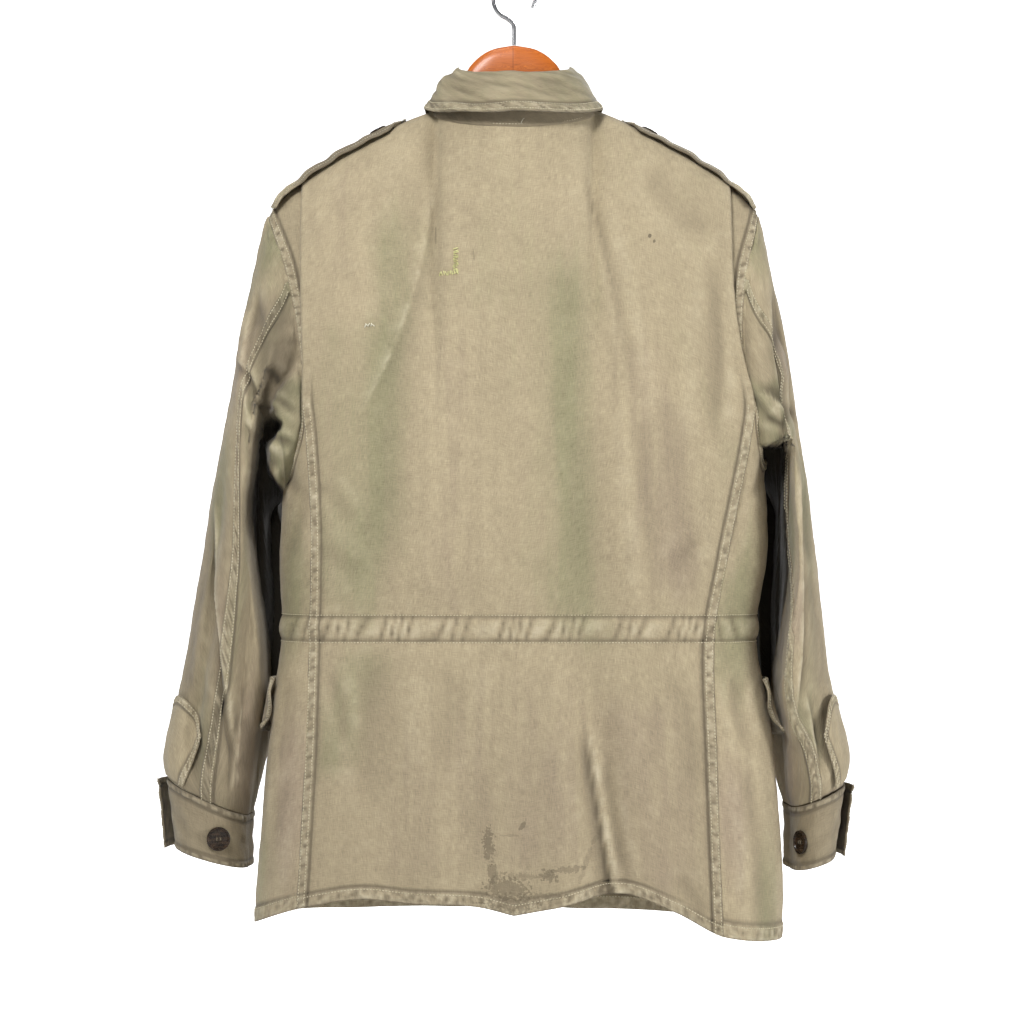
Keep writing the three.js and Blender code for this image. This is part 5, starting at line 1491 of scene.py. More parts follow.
sleeves = {}
for side in SIGN:
    for part in ("upper", "under"):
        columns_of_sleeve = grade(0, 1, 1 / (74 if part == "upper" else 112),
                                  [(0, 0.05, 1 / 190), (1, 0.05, 1 / 190)])
        rows_of_sleeve = grade(-ALLOWANCE_ROW, 1, 1 / (145 if part == "upper" else 235), [(0, 0.02, 1 / 300)])
        sleeve = Panel(
            f"sleeve_cloth_{part}_{side}", sleeve_surface(side, part), columns_of_sleeve, rows_of_sleeve,
            from_sleeve(side)
        )
        sleeve.before_folding = sleeve_surface(side, part, False)(sleeve.u, sleeve.v)
        if part == "under":
            add_band(sleeve, "left", 13, 0.9)
            add_band(sleeve, "right", 10, 0.9)
        add_creases(sleeve, SLEEVE_CREASES[side])
        add_folds(sleeve, SLEEVE_SHARP_FOLDS[side])
        add_creases(sleeve, SLEEVE_FACE_CREASES[side], behind=False)
        add_crumple(sleeve, 61 if side == "left" else 71, 1.3, 0.35, 1.6)
        head = np.exp(-sleeve.height / 14)
        sleeve.relief += 0.5 * head * ripples(sleeve.width, sleeve.height, 9, 7)
        sleeve.green += 0.6 * ripples(sleeve.width, sleeve.height / 4, 70, 63)
        sleeve.grime_and_shade += 0.35 * smooth(sleeve.v, 0.86, 1)
        ends = [seam_turn(e, np.maximum(sleeve.v, 0)) for e in (BACK_SEAM_TURN, FRONT_SEAM_TURN)]
        if part == "under":
            # Painted shadow in the hollow under the arm: it deepens with the drop and goes nearly black where
            # darkest.
            deep, darkest_shadow = fallen_back(side, lerp(*ends, sleeve.u), sleeve.middle)
            sleeve.grime_and_shade += 1.1 * deep / 58 + 2.2 * darkest_shadow
            sleeve.worn *= 1 - deep / 58
        out, down = SIGN[side] * sleeve.x, -sleeve.z
        # Painted shade on the sleeve's back beside the body's side, below the shoulder.
        shade_by_body = np.exp(-(((out - 222 - (side == "right") * 24) / 15) ** 2)) * smooth(down, 285, 330)
        shade_by_body *= (1.15 if side == "left" else 0.5) * (1 - smooth(down, 395, 425))
        sleeve.grime_and_shade += shade_by_body * (sleeve.normal[..., 1] > 0)
        # Painted shade: the left sleeve is darker, more so lower down.
        sleeve.grime_and_shade += (0.2 + 0.22 * smooth(down, 440, 560)) * (side == "left")
        inner = read(HOLLOW[side], "down", down, "inner")
        gusset = smooth(down, 375, 395) * (1 - smooth(down, 470, 500)) * (1 - smooth(out - inner, 0, 5))
        sleeve.green += 0.8 * gusset
        sew(sleeve, faded_sateen, [f"sleeve_{part}_{side}"])
        sleeves[side, part] = sleeve

# %% [markdown]
# ## Cuffs and vents
# A separate band closes each sleeve and laps over itself at the outer edge, where its tab sticks out.
# Behind it the sleeve is opened by a vent, backed by a shaped piece whose curved seams show above the cuff.

# %% Cuff and vent panels
cuffs, vents = {}, {}
for side in SIGN:
    end = CUFF_END[side]
    middle = np.array([SIGN[side] * (end["x_outer"] + end["x_inner"]) / 2, end["y"], 0])
    from_middle = lambda grid, middle=middle: (grid - middle) * np.array([1, 1, 0])
    turns = grade(CUFF_START, CUFF_STOP, 2.6, [(CUFF_START, 12, 1.2), (CUFF_STOP, 16, 1.0)])
    cuff = Panel(f"cuff_cloth_{side}", cuff_surface(side), turns, grade(0, 1, 0.035), from_middle, 1.8)
    add_band(cuff, "top", 5, 0.35)
    add_band(cuff, "bottom", 6, 0.45)
    add_band(cuff, "left", 5, 0.4)
    add_band(cuff, "right", 5, 0.4)
    add_crumple(cuff, 81, 0.6, 0.4)
    cuff.relief += 0.5 * np.exp(-(((cuff.v - 0.5) / 0.25) ** 2)) * ripples(cuff.width, cuff.height, 22, 83)
    cuff.worn += 0.4 * np.exp(-cuff.inset("bottom") / 3) + 0.3 * np.exp(-cuff.inset("right") / 3)
    cuff.grime_and_shade += 0.75
    sew(cuff, faded_sateen, [f"cuff_{side}"])
    cuffs[side] = cuff
    vent = Panel(f"vent_cloth_{side}", vent_surface(side), grade(0, 1, 0.022), grade(0, 1, 0.022),
                 from_middle, 0.9)
    for edge in ("left", "right", "bottom"):
        add_band(vent, edge, 7, 0.35)
    add_crumple(vent, 85, 0.5, 0.4)
    vents[side] = vent
    sew(vent, faded_sateen, [f"sleeve_vent_{side}"])

# %% [markdown]
# ## The collar
# The stand rises from the neck seam and the fall turns over it. The fall's outer edge is stitched twice,
# close together, and worn almost white. Its turned edge is a little wavy from years on a hanger.

# %% Collar panels
def drawn_in(surface):
    """The collar's top narrows where it rests on the hanger's crown."""
    def narrowed(u, v):
        p = surface(u, v)
        p[..., 0] *= 1 - 0.15 * smooth(p[..., 2], -98, -72)
        return p

    return narrowed


stand = Panel("collar_stand_cloth", drawn_in(stand_surface), grade(-1, 1, 1 / 80), grade(-0.16, 1, 0.05),
              from_axis)
# Painted shade under the collar's fall.
stand.grime_and_shade += 1.0
add_crumple(stand, 91, 0.3, 0.2)
sew(stand, faded_sateen, ["collar_stand"])
fall = Panel("collar_fall_cloth", drawn_in(fall_surface), grade(-1, 1, 1 / 110), grade(0.06, 1, 0.03),
             from_axis, 1.5)
add_band(fall, "top", 9, 0.5)
add_crumple(fall, 93, 0.9, 0.3)
fall.relief += 0.9 * ripples(fall.width, fall.height * 0.3, 46, 95) * smooth(fall.v, 0, 0.3)
slant = (
    ripples(fall.width + fall.height * 1.6, fall.height - fall.width * 0.5, 27, 98, 11)
    * smooth(fall.v, 0.05, 0.2)
)
fall.relief += 0.3 * slant
# Painted shade in the valleys of the slanting ripples.
fall.grime_and_shade += 0.3 * np.clip(-slant, 0, 1)
between_rows = smooth(fall.inset("top"), 2, 3.5) * (1 - smooth(fall.inset("top"), 8, 9.5))
fall.relief += 0.3 * between_rows * np.sin(fall.width * 2 * math.pi / 7)
fall.worn += 0.5 * np.exp(-fall.inset("top") / 4)
fall.green += 0.5
fall.grime_and_shade += (
    0.3 + 0.4 * np.exp(-(((fall.v - 0.45) / 0.2) ** 2))
    * (0.5 + 0.5 * ripples(fall.width, fall.height, 40, 96))
)
sew(fall, faded_sateen, ["collar_fall"])

# %% [markdown]
# ## The front overlap, shoulder straps and hip flaps
# The overlap covers the meeting of the fronts and carries the buttons. A strap lies along each shoulder
# seam, sewn down at the armhole with a box of stitches and buttoned near the collar. The hip pockets' flaps
# reach round to the sides, where their ends stand off the cloth.

# %% Overlap, straps and flaps
placket_levels = np.concatenate([rise_of(grade(-904, CHEST_LEVEL, 4.5))[:-1], grade(1, 1.97, 4.5 / 385)])
overlap = Panel(
    "front_overlap_cloth", placket_surface, grade(-1, 1, 0.07), placket_levels,
    lambda grid: np.array([0, -1, 0]), 1.6
)
for edge in ("left", "right", "bottom", "top"):
    add_band(overlap, edge, 7, 0.4)
add_crumple(overlap, 97, 0.5, 0.3)
sew(overlap, faded_sateen, ["front_overlap"])

straps, flaps = {}, {}
for side in SIGN:
    strap = Panel(
        f"shoulder_strap_cloth_{side}", strap_surface(side), grade(-1, 1, 0.07), grade(0, 1, 0.018),
        lambda grid, side=side: np.array([SIGN[side] * 0.3, 0, 1]), 1.8,
    )
    for edge in ("left", "right", "top"):
        add_band(strap, edge, 4, 0.35)
    add_crumple(strap, 99, 0.7, 0.3)
    strap.relief += 0.7 * ripples(strap.height, strap.width * 0.2, 20, 102)
    # Painted shade: the strap's rear half, which droops towards the back, is darker away from the armhole
    # end.
    strap.grime_and_shade += 1.1 * smooth(strap.v, 0.12, 0.3) * smooth(strap.u, -0.5, 0.3)
    strap.worn += 0.6 * np.exp(-np.minimum(strap.inset("left"), strap.inset("right")) / 1.5)
    sew(strap, faded_sateen, [f"shoulder_strap_{side}"])
    straps[side] = strap
    flap = Panel(f"hip_flap_cloth_{side}", flap_surface(side), grade(0, 1, 0.022), grade(0, 1, 0.05),
                 from_axis, 1.6)
    for edge in ("left", "right", "top"):
        add_band(flap, edge, 6, 0.4)
    add_crumple(flap, 101, 0.8, 0.4)
    flap.worn += 0.9 * np.exp(-flap.inset("left") / 3)
    flap.relief += 2.5 * np.exp(-flap.inset("left") / 6) * np.sin(flap.height / 7)
    sew(flap, faded_sateen, [f"hip_flap_{side}"])
    flaps[side] = flap

# %% [markdown]
# ## Rows of stitches
# Each seam is sewn with one or two rows of cotton thread, about eight stitches to an inch. A row is a line on
# a panel, set back from an edge by its true inset. One Geometry Nodes tree turns the lines into stitches: it
# cuts a line at every pitch and lays a small grain of thread there along the row. That keeps thousands of
# stitches even and lets us change their size in one place. The result is made a plain mesh.

# %% Lines on a panel
def seam_line(panel, edge, inset, span=(-9, 9), lift=0.2):
    """The line at an inset from an edge, where the other coordinate lies within the span."""
    sheet, away = panel.outer(lift), panel.inset(edge)
    other = panel.v[:, 0] if edge in ("left", "right") else panel.u[0]
    if edge in ("top", "bottom"):
        sheet, away = sheet.transpose(1, 0, 2), away.T
    if edge in ("right", "top"):
        sheet, away = sheet[:, ::-1], away[:, ::-1]
    keep = (other >= span[0]) & (other <= span[1])
    lines = zip(sheet[keep], away[keep])
    return np.array([[np.interp(inset, far, line[:, i]) for i in range(3)] for line, far in lines])


def line_on(panel, u, v, lift=0.12):
    """The line through the panel's own coordinates u and v."""
    sheet = panel.outer(lift)
    u, v = np.broadcast_arrays(np.asarray(u, float), np.asarray(v, float))
    col = np.interp(u, panel.u[0], np.arange(sheet.shape[1]))
    row = np.interp(v, panel.v[:, 0], np.arange(sheet.shape[0]))
    i = np.minimum(row.astype(int), sheet.shape[0] - 2)
    j = np.minimum(col.astype(int), sheet.shape[1] - 2)
    a, b = (row - i)[:, None], (col - j)[:, None]
    return lerp(lerp(sheet[i, j], sheet[i, j + 1], b), lerp(sheet[i + 1, j], sheet[i + 1, j + 1], b), a)


def near_point(panel, point):
    """The grid place whose outer point lies nearest, and its outer point and normal."""
    sheet = panel.outer()
    i, j = np.unravel_index(((sheet - np.asarray(point)) ** 2).sum(axis=-1).argmin(), panel.u.shape)
    return sheet[i, j], panel.normal[i, j]


def path_on_back(places, lift=0.3):
    """Points on the back at given x and z, in millimetres."""
    found = []
    for x, z in places:
        flat = back.outer()[..., [0, 2]] - np.array([x, z])
        i, j = np.unravel_index((flat**2).sum(axis=-1).argmin(), back.u.shape)
        base, normal = back.outer()[i, j], back.normal[i, j]
        y = base[1] - (normal[0] * (x - base[0]) + normal[2] * (z - base[2])) / normal[1]
        found.append((x, y + lift, z))
    return np.array(found)


# %% The trees for stitches and for threads
def node_tree(name, inputs):
    tree = bpy.data.node_groups.new(name, "GeometryNodeTree")
    for label, kind, value in inputs:
        socket = tree.interface.new_socket(label, in_out="INPUT", socket_type="NodeSocket" + kind)
        if value is not None:
            socket.default_value = value
    tree.interface.new_socket("Made", in_out="OUTPUT", socket_type="NodeSocketGeometry")
    t = Tree(tree)
    return tree, t, t.make("NodeGroupInput").outputs, t.make("NodeGroupOutput").inputs["Made"]


def finish_tree(t, geometry, thread, made):
    real = t.make("GeometryNodeRealizeInstances", {"Geometry": geometry}).outputs[0]
    soft = t.make("GeometryNodeSetShadeSmooth", {0: real}).outputs[0]
    done = t.make("GeometryNodeSetMaterial", {"Geometry": soft, "Material": thread}).outputs[0]
    t.tree.links.new(done, made)


stitch_tree, t, given, made = node_tree(
    "stitches_along_rows",
    [("Rows", "Geometry", None), ("Pitch", "Float", 0.003), ("Length", "Float", 0.0023),
     ("Width", "Float", 0.001),
     ("Thread", "Material", None)],
)
curve = t.make("GeometryNodeMeshToCurve", {"Mesh": given["Rows"]}).outputs["Curve"]
dots = t.make("GeometryNodeCurveToPoints", {"Curve": curve, "Length": given["Pitch"]}, mode="LENGTH").outputs
grain = t.make("GeometryNodeMeshIcoSphere", {"Radius": 0.5, "Subdivisions": 1}).outputs["Mesh"]
size = t.make("ShaderNodeCombineXYZ", {0: given["Width"], 1: given["Width"], 2: given["Length"]}).outputs[0]
laid = t.make("GeometryNodeInstanceOnPoints", {"Points": dots["Points"], "Instance": grain, "Scale": size,
                                               "Rotation": dots["Rotation"]}).outputs[0]
finish_tree(t, laid, given["Thread"], made)

thread_tree, t, given, made = node_tree(
    "threads_along_lines",
    [("Rows", "Geometry", None), ("Radius", "Float", 0.0004), ("Sides", "Int", 6),
     ("Thread", "Material", None)],
)
curve = t.make("GeometryNodeMeshToCurve", {"Mesh": given["Rows"]}).outputs["Curve"]
round_section = t.make("GeometryNodeCurvePrimitiveCircle",
                       {"Resolution": given["Sides"], "Radius": given["Radius"]})
tube = t.make("GeometryNodeCurveToMesh", {"Curve": curve, "Profile Curve": round_section.outputs["Curve"],
                                          "Fill Caps": True}).outputs[0]
finish_tree(t, tube, given["Thread"], made)
print("trees:", len(stitch_tree.nodes), "and", len(thread_tree.nodes), "nodes")


# %% From lines to a mesh
def grow(name, lines, tree, values):
    corners = np.concatenate(lines) * MM
    ends = np.cumsum([len(line) for line in lines])
    edges = [(i, i + 1) for i in range(len(corners) - 1) if i + 1 not in ends]
    mesh = bpy.data.meshes.new(name)
    mesh.from_pydata(corners.tolist(), edges, [])
    piece = bpy.data.objects.new(name, mesh)
    bpy.context.collection.objects.link(piece)
    modifier = piece.modifiers.new(name, "NODES")
    modifier.node_group = tree
    for item in tree.interface.items_tree:
        if item.in_out == "INPUT" and item.name in values:
            modifier[item.identifier] = values[item.name]
    evaluated = piece.evaluated_get(bpy.context.evaluated_depsgraph_get())
    grown = bpy.data.meshes.new_from_object(evaluated)
    piece.modifiers.clear()
    piece.data = grown
    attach(piece, "root")
    print(name, len(lines), "lines,", len(grown.polygons), "faces")
    return piece


# %% [markdown]
# ## Thread
# Cotton thread is matt, with a twist that shows as fine slanted stripes. The seams' thread has faded to a
# pale khaki. The darns were sewn later with a pale yellow-green yarn, and a loose end is nearly white.

# %% Thread materials
def thread_material(name, colour, dark, twist=900.0):
    material, shader = new_material(name)
    t = Tree(material.node_tree)
    place = t.make("ShaderNodeTexCoord").outputs["Object"]
    stripes = t.noise(t.stretch(place, (twist, twist, twist * 0.6)), 1.0, 2.0)
    soiling = t.noise(place, 70.0, 3.0)
    shade = t.sum("ADD", t.sum("MULTIPLY", stripes, 0.6), t.sum("MULTIPLY", soiling, 0.5))
    t.tree.links.new(t.mix(t.between(shade, 0.35, 0.75), dark, colour), shader.inputs["Base Color"])
    bump = t.make("ShaderNodeBump", {"Height": stripes, "Distance": 0.0003, "Strength": 0.6})
    t.tree.links.new(bump.outputs[0], shader.inputs["Normal"])
    shader.inputs["Roughness"].default_value = 0.8
    shader.inputs["Sheen Weight"].default_value = 0.2
    return material


khaki_thread = thread_material("khaki_thread", (0.66, 0.59, 0.42, 1), (0.4, 0.35, 0.22, 1))
brown_thread = thread_material("brown_thread", (0.2, 0.16, 0.1, 1), (0.09, 0.07, 0.045, 1))
yellow_yarn = thread_material("yellow_yarn", (0.72, 0.7, 0.34, 1), (0.42, 0.4, 0.17, 1))
pale_thread = thread_material("pale_thread", (0.78, 0.74, 0.6, 1), (0.5, 0.46, 0.34, 1))

# %% [markdown]
# ## Where the rows run
# Felled seams and bands carry two rows, hems, cuffs, straps and flaps one near the edge. The straps have a
# box with a cross at their sewn ends, and the hip flaps a short dense bar at each corner.

# %% Rows on the body
def channel_rows(panel, low, high):
    levels = [CHANNEL_LOW - 1.5, CHANNEL_HIGH + 1.5]
    across = np.linspace(low, high, 260)
    return [line_on(panel, across, np.full(260, rise_of(level))) for level in levels]


back_rows = [seam_line(back, edge, inset, (-1, 1.24)) for edge in ("left", "right") for inset in (1.8, 8)]
back_rows += [seam_line(back, "bottom", 9.5), seam_line(back, "top", 2.2, (-0.36, 0.36))]
back_rows += channel_rows(back, -1, 1)
front_rows = []
for side in SIGN:
    front, pleat = fronts[side], pleats[side]
    front_rows += channel_rows(front, 0, 0.89)
    front_rows += [seam_line(front, "bottom", 12), seam_line(front, "bottom", 12, lift=-1.3)]
    front_rows += [seam_line(front, "top", inset, (0, 0.46)) for inset in (2, 8)]
    front_rows += [seam_line(pleat, "right", inset) for inset in (2, 8)]
front_rows += [seam_line(overlap, edge, inset) for edge in ("left", "right") for inset in (2, 7)]

# %% Rows on the sleeves and the small pieces
sleeve_rows, trim_rows = [], []
for side in SIGN:
    under, cuff, vent = sleeves[side, "under"], cuffs[side], vents[side]
    strap, flap = straps[side], flaps[side]
    sleeve_rows += [seam_line(under, edge, inset, (0, 1)) for edge, far in (("left", 11), ("right", 8))
                    for inset in (2, far)]
    sleeve_rows += [seam_line(vent, edge, inset) for edge in ("left", "right", "bottom")
                    for inset in (1.6, 6)]
    trim_rows += [seam_line(cuff, "top", 4), seam_line(cuff, "top", 1.2), seam_line(cuff, "bottom", 5)]
    trim_rows += [seam_line(cuff, "right", 4), seam_line(cuff, "left", 4)]
    trim_rows += [seam_line(strap, edge, 3.5) for edge in ("left", "right")]
    corners = np.array([(-0.7, 0.03), (0.7, 0.03), (0.7, 0.17), (-0.7, 0.17), (-0.7, 0.03), (0.7, 0.17)])
    corners = np.concatenate([corners, [(0.7, 0.03), (-0.7, 0.17)]])
    steps = np.linspace(0, len(corners) - 1, 90)
    box_u, box_v = (np.interp(steps, np.arange(len(corners)), corners[:, i]) for i in (0, 1))
    trim_rows += [line_on(strap, box_u, box_v)]
    trim_rows += [seam_line(flap, edge, 3.5) for edge in ("left", "right", "top")]
    for corner in (0.03, 0.97):
        zigzag = corner + 0.018 * (np.arange(26) % 2 - 0.5)
        trim_rows += [line_on(flap, zigzag, np.linspace(0.04, 0.2, 26), 0.3)]
trim_rows += [seam_line(fall, "top", inset) for inset in (2.2, 8.8)]
trim_rows += [seam_line(fall, edge, 3) for edge in ("left", "right")]

# %% Stitches
sewn = {"Thread": khaki_thread}
grow("topstitching_back", back_rows, stitch_tree, sewn)
grow("topstitching_fronts", front_rows, stitch_tree, sewn)
grow("topstitching_sleeves", sleeve_rows, stitch_tree, sewn)
grow("topstitching_trim", trim_rows, stitch_tree, {**sewn, "Pitch": 0.0026, "Length": 0.0021})

# %% [markdown]
# ## Darns and loose threads
# A tear left of the middle was darned in the shape of an L with pale yarn, in close slanted stitches, and a
# smaller hole lower down with a few. A loose end of thread stands out of the neck seam, and the right
# cuff's hem is fraying.

# %% Darns
chance = np.random.default_rng(7)


def darn(start, end, stitches, reach):
    """Short slanted stitches across the line from start to end, each arched a little off the cloth."""
    lines = []
    direction = unit(np.subtract(end, start).astype(float))
    aside = np.array([-direction[1], direction[0]])
    for share in np.linspace(0, 1, stitches):
        middle = lerp(np.array(start, float), np.array(end, float), share) + chance.uniform(-0.5, 0.5, 2)
        slant = aside * reach + direction * chance.uniform(-1.3, 1.3)
        path = [middle + slant * step for step in (-1, -0.5, 0, 0.5, 1)]
        line = path_on_back(path, 0.2)
        line[:, 1] += np.array([0, 0.5, 0.8, 0.5, 0])
        lines.append(line)
    return lines


darns = darn((55, -262), (55, -284), 13, 2.2) + darn((54, -284), (70, -285.5), 9, 1.8)
grow("darn_long", darns, thread_tree, {"Radius": 0.00055, "Thread": yellow_yarn})
small = darn((133, -333), (140, -334), 5, 1.3)
grow("darn_small", small, thread_tree, {"Radius": 0.0005, "Thread": pale_thread})

# %% Loose threads
neck = seam_line(back, "top", 2.2, (-0.36, 0.36))
at = neck[np.abs(neck[:, 0] + 6).argmin()]
loose = [at + np.array([-0.4 * i, 0.5 + 0.35 * i, 1.1 * i - 0.06 * i * i]) for i in range(9)]
frayed = []
for line, aim in (
    (seam_line(cuffs["right"], "bottom", 0.4)[::2], (0, 0, -2.6)),
    (seam_line(cuffs["left"], "right", 0.4), (2.2, 0, -0.6)),
    (seam_line(cuffs["right"], "right", 0.4), (-2.4, 0, -0.6)),
    (seam_line(flaps["left"], "left", 0.4), (1.2, 2, -0.6)),
    (seam_line(flaps["right"], "left", 0.4), (-1.2, 2, -0.6)),
    (seam_line(fronts["right"], "bottom", 0.4, (0, 0.25))[::3], (0, 0, -2.2)),
):
    for start in line:
        reach = np.array(aim) * chance.uniform(0.4, 1.4) + chance.uniform(-0.7, 0.7, 3)
        frayed.append(np.array([start + reach * (step - 0.15) for step in (0, 0.4, 0.75, 1)]))
grow("loose_threads", [np.array(loose), *frayed], thread_tree, {"Radius": 0.00022, "Thread": pale_thread})

# %% [markdown]
# ## Buttons
# The buttons are dark brown, 23 mm across, with a raised rim, a dished middle and four holes. One is turned
# on a lathe of points, four cylinders drill it, and copies are set on the cloth along its normal. Crossed
# threads hold each one. The two on the shoulder straps are smaller.

# %% Button shape
def lathe(profile, sides):
    """A closed turned shape, from the middle of its underside to the middle of its top."""
    corners = [(0, 0, profile[0][1])]
    for radius, height in profile[1:-1]:
        turns = np.arange(sides) * 2 * math.pi / sides
        corners += [(radius * math.cos(a), radius * math.sin(a), height) for a in turns]
    corners.append((0, 0, profile[-1][1]))
    ring = lambda k, i: 1 + k * sides + i % sides
    faces = [(0, ring(0, i + 1), ring(0, i)) for i in range(sides)]
    for k in range(len(profile) - 3):
        faces += [(ring(k, i), ring(k, i + 1), ring(k + 1, i + 1), ring(k + 1, i)) for i in range(sides)]
    last = len(profile) - 3
    faces += [(ring(last, i), ring(last, i + 1), len(corners) - 1) for i in range(sides)]
    return np.array(corners), faces


def drilled_button(radius, height, rim, hole, hole_out):
    profile = [(0, 0), (radius * 0.82, 0), (radius * 0.95, 0.35), (radius, 1.1), (radius, height - 0.9)]
    profile += [(radius - 0.35, height - 0.2), (radius - rim * 0.5, height), (radius - rim, height - 0.25)]
    profile += [(radius - rim - 0.7, height - 1.2), (radius * 0.5, height - 1.5),
                (radius * 0.3, height - 1.55)]
    profile += [(0, height - 1.55)]
    corners, faces = lathe(profile, 36)
    blank = mesh_object("button_blank", corners * MM, faces, button_brown)
    drill_corners, drill_faces = lathe([(0, -1), (hole, -1), (hole, height + 1), (0, height + 1)], 14)
    tools = []
    for turn in (45, 135, 225, 315):
        shift = np.array([math.cos(math.radians(turn)), math.sin(math.radians(turn)), 0]) * hole_out
        tools.append(mesh_object("drill", (drill_corners + shift) * MM, drill_faces, button_brown))
    for tool in tools:
        cut = blank.modifiers.new("cut", "BOOLEAN")
        cut.operation, cut.solver, cut.object = "DIFFERENCE", "EXACT", tool
    drilled = bpy.data.meshes.new_from_object(blank.evaluated_get(bpy.context.evaluated_depsgraph_get()))
    for used in (blank, *tools):
        bpy.data.objects.remove(used)
    drilled.set_sharp_from_angle(angle=math.radians(38))
    print("button", radius * 2, "mm:", len(drilled.polygons), "faces")
    return drilled


button_brown, shader = new_material("button_brown")
t = Tree(button_brown.node_tree)
place = t.make("ShaderNodeTexCoord").outputs["Object"]
swirl = t.noise(t.stretch(place, (120.0, 120.0, 420.0)), 1.0, 4.0, 0.6)
scuffs = t.noise(place, 900.0, 3.0)
body_brown = t.mix(t.between(swirl, 0.35, 0.7), (0.012, 0.008, 0.005, 1), (0.05, 0.03, 0.017, 1))
button_colour = t.mix(t.sum("MULTIPLY", t.between(scuffs, 0.6, 0.75), 0.35), body_brown, (0.2, 0.16, 0.12, 1))
t.tree.links.new(button_colour, shader.inputs["Base Color"])
shader.inputs["Specular IOR Level"].default_value = 0.3
t.tree.links.new(t.sum("ADD", 0.12, t.sum("MULTIPLY", scuffs, 0.3)), shader.inputs["Roughness"])
bump = t.make("ShaderNodeBump", {"Height": scuffs, "Distance": 0.0002, "Strength": 0.3})
t.tree.links.new(bump.outputs[0], shader.inputs["Normal"])

# %% Buttons on the cloth
large_button = drilled_button(11.5, 3.3, 2.0, 1.15, 2.5)
strap_button = drilled_button(8.5, 2.7, 1.6, 0.95, 2.0)
button_threads = []


def set_button(node, panel, mesh, out, height, sink=0.0):
    low, high = (np.array(v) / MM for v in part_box(node))
    centre = (low + high) / 2
    surface, normal = near_point(panel, centre)
    base = centre - normal * (centre - surface).dot(normal) + normal * (0.15 - sink)
    turn = np.array(Vector(normal).to_track_quat("Z", "Y").to_matrix())
    corners = np.empty(len(mesh.vertices) * 3)
    mesh.vertices.foreach_get("co", corners)
    shape = mesh.copy()
    placed = corners.reshape(-1, 3) @ turn.T + base * MM
    shape.vertices.foreach_set("co", placed.ravel())
    piece = bpy.data.objects.new("detailed_" + node, shape)
    bpy.context.collection.objects.link(piece)
    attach(piece, "root")
    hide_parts(node)
    for x in (-1, 1):
        for offset in (-0.32, 0.32):
            ends = np.array([(x * out * 0.7 + offset, y * out * 0.7, 0)
                             for y in (-1, -0.85, -0.3, 0.3, 0.85, 1)])
            ends[:, 2] = np.array([height - 2.4, height - 1.5, height - 0.9, height - 0.9, height - 1.5,
                                   height - 2.4])
            button_threads.append(ends @ turn.T + base)


for side in SIGN:
    for label in ("rear", "lap"):
        set_button(f"cuff_button_{label}_{side}", cuffs[side], large_button, 2.5, 3.3)
    set_button(f"strap_button_{side}", straps[side], strap_button, 2.0, 2.7, 1.7)
for i in range(1, 7):
    set_button(f"front_button_{i}", overlap, large_button, 2.5, 3.3)
grow("button_threads", button_threads, thread_tree, {"Radius": 0.00036, "Thread": brown_thread})

# %% [markdown]
# ## The hanger
# The hanger is sawn from two boards of wood, glued at the middle, rounded and varnished orange-brown.
# Upright rings along its length give its form, with the crown that shows above the collar, and the arms
# under the shoulders.

# %% Hanger wood
def varnished_wood():
    material, shader = new_material("varnished_wood")
    t = Tree(material.node_tree)
    place = t.make("ShaderNodeTexCoord").outputs["Object"]
    bent = t.noise(t.stretch(place, (6.0, 30.0, 30.0)), 1.0, 3.0)
    spread = t.make("ShaderNodeVectorMath", {0: place, 1: bent}, operation="ADD").outputs[0]
    grain = t.noise(t.stretch(spread, (16.0, 240.0, 240.0)), 1.0, 5.0, 0.6)
    pores = t.noise(t.stretch(place, (120.0, 1500.0, 1500.0)), 1.0, 2.0)
    colour = t.mix(t.between(grain, 0.3, 0.7), WOOD_LIGHT, WOOD_DEEP)
    colour = t.mix(t.sum("MULTIPLY", t.between(pores, 0.6, 0.72), 0.5), colour, WOOD_PORE)
    x = t.make("ShaderNodeSeparateXYZ", {0: place}).outputs["X"]
    joint = t.sum("LESS_THAN", t.sum("ABSOLUTE", t.sum("SUBTRACT", x, 0.001)), 0.0005)
    colour = t.mix(t.sum("MULTIPLY", joint, 0.4), colour, WOOD_PORE)
    t.tree.links.new(colour, shader.inputs["Base Color"])
    t.tree.links.new(t.sum("ADD", 0.3, t.sum("MULTIPLY", pores, 0.15)), shader.inputs["Roughness"])
    bump = t.make("ShaderNodeBump", {"Height": grain, "Distance": 0.0004, "Strength": 0.25})
    t.tree.links.new(bump.outputs[0], shader.inputs["Normal"])
    shader.inputs["Specular IOR Level"].default_value = 0.3
    shader.inputs["Coat Weight"].default_value = 0.2
    shader.inputs["Coat Roughness"].default_value = 0.16
    return material


WOOD_LIGHT, WOOD_DEEP, WOOD_PORE = (0.62, 0.17, 0.022, 1), (0.4, 0.09, 0.012, 1), (0.14, 0.026, 0.005, 1)
HANGER_TOP = columns("x top", (0, -62), (24, -67.5), (42, -82), (51, -100), (57, -116), (66, -126),
                     (86, -133.5))
HANGER_BOTTOM = columns(
    "x bottom half", (0, -152, 8), (50, -154, 8), (86, -163, 7.5), (140, -184, 7), (192, -213, 6),
    (211, -226, 4)
)
x, turn = np.meshgrid(np.linspace(-211, 211, 212), np.arange(0, 360, 9), indexing="ij")
at = np.abs(x)
top = np.where(at < 86, read(HANGER_TOP, "x", at, "top"), shoulder_z(at) - lerp(3, 9.5, smooth(at, 158, 178)))
bottom, half = read(HANGER_BOTTOM, "x", at, "bottom"), read(HANGER_BOTTOM, "x", at, "half")
close = np.sqrt(np.clip((211.6 - at) / 3, 0.05, 1))
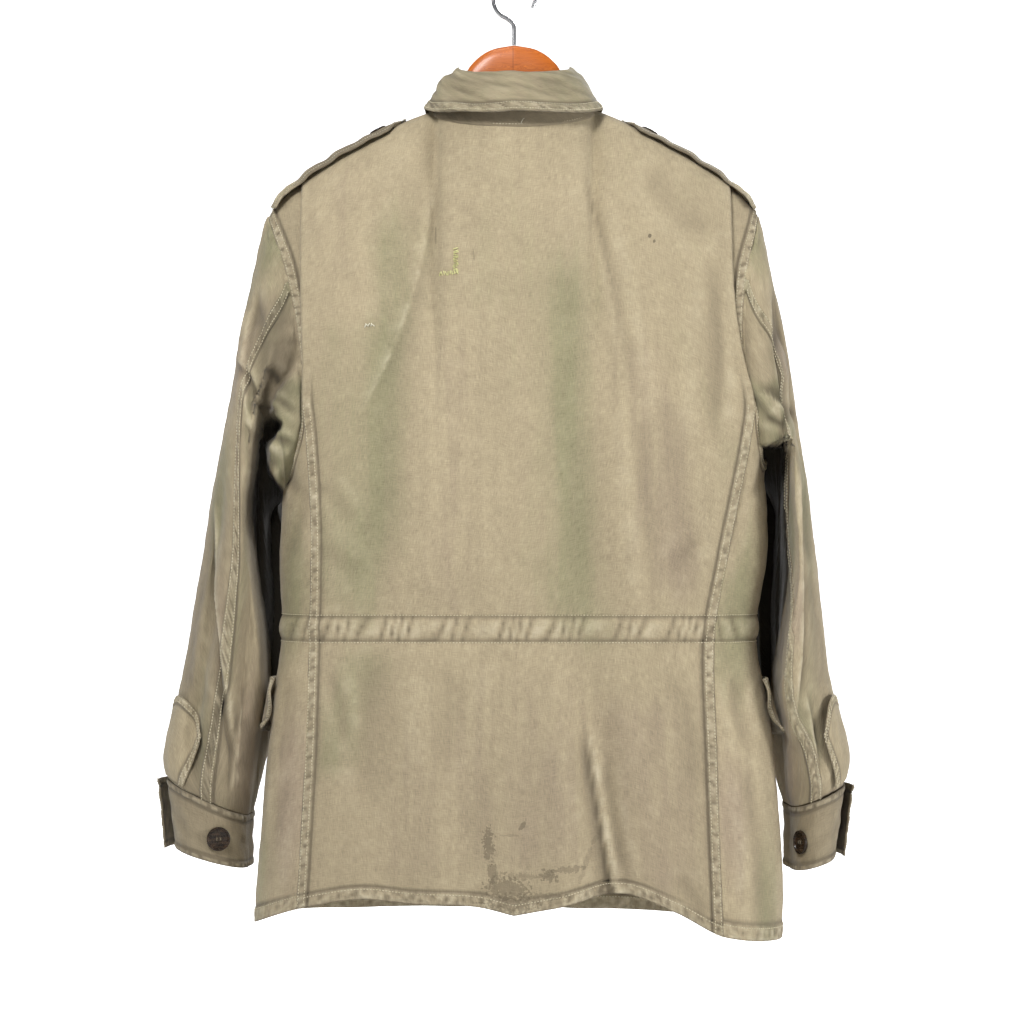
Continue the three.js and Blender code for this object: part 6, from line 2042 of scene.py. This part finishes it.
wood_points = points(
    x,
    SHOULDER_Y + half * close * power(np.cos(np.radians(turn)), 0.8),
    (top + bottom) / 2 + (top - bottom) / 2 * close * power(np.sin(np.radians(turn)), 0.8),
)
stations, sides = x.shape
index = np.arange(stations * sides).reshape(stations, sides)
after = np.roll(index, -1, axis=1)
skin = np.stack([index[:-1], after[:-1], after[1:], index[1:]], axis=-1).reshape(-1, 4)
hanger_faces = [*skin.tolist(), index[0, ::-1].tolist(), index[-1].tolist()]
hanger = mesh_object("varnished_hanger", wood_points.reshape(-1, 3) * MM, hanger_faces, varnished_wood())
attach(hanger, "root")
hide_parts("hanger")
print("hanger:", len(hanger.data.polygons), "faces")

# %% [markdown]
# ## The hook
# A plated steel wire is screwed into the crown and bent over the rail. The photograph lost it, so it is of
# the usual size. The thread tree makes it too: a hook is a very thick thread.

# %% Hook
bright_steel, shader = new_material("bright_steel")
t = Tree(bright_steel.node_tree)
place = t.make("ShaderNodeTexCoord").outputs["Object"]
drawn = t.noise(t.stretch(place, (300.0, 300.0, 60.0)), 1.0, 3.0)
t.tree.links.new(t.mix(drawn, (0.42, 0.42, 0.43, 1), (0.7, 0.7, 0.71, 1)), shader.inputs["Base Color"])
t.tree.links.new(t.sum("ADD", 0.14, t.sum("MULTIPLY", drawn, 0.22)), shader.inputs["Roughness"])
shader.inputs["Metallic"].default_value = 1.0
WIRE, BEND = 1.9, 18
knots = [(0, z) for z in (-61.65, -56, -50, -45.5)] + [(1.4, -41.4)]
for turned in np.linspace(-70, 205, 15):
    angle = math.radians(turned)
    knots.append(((BEND + WIRE) * math.cos(angle), -BEND + (BEND + WIRE) * math.sin(angle)))
knots = np.array(knots)
fine = np.linspace(0, len(knots) - 1, 140)
route = columns("at x z", *[(i, *knot) for i, knot in enumerate(knots)])
wire = points(read(route, "at", fine, "x"), SHOULDER_Y, read(route, "at", fine, "z"))
hook = grow("bent_wire_hook", [wire], thread_tree,
            {"Radius": WIRE * MM, "Sides": 20, "Thread": bright_steel})
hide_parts("hanger_hook")
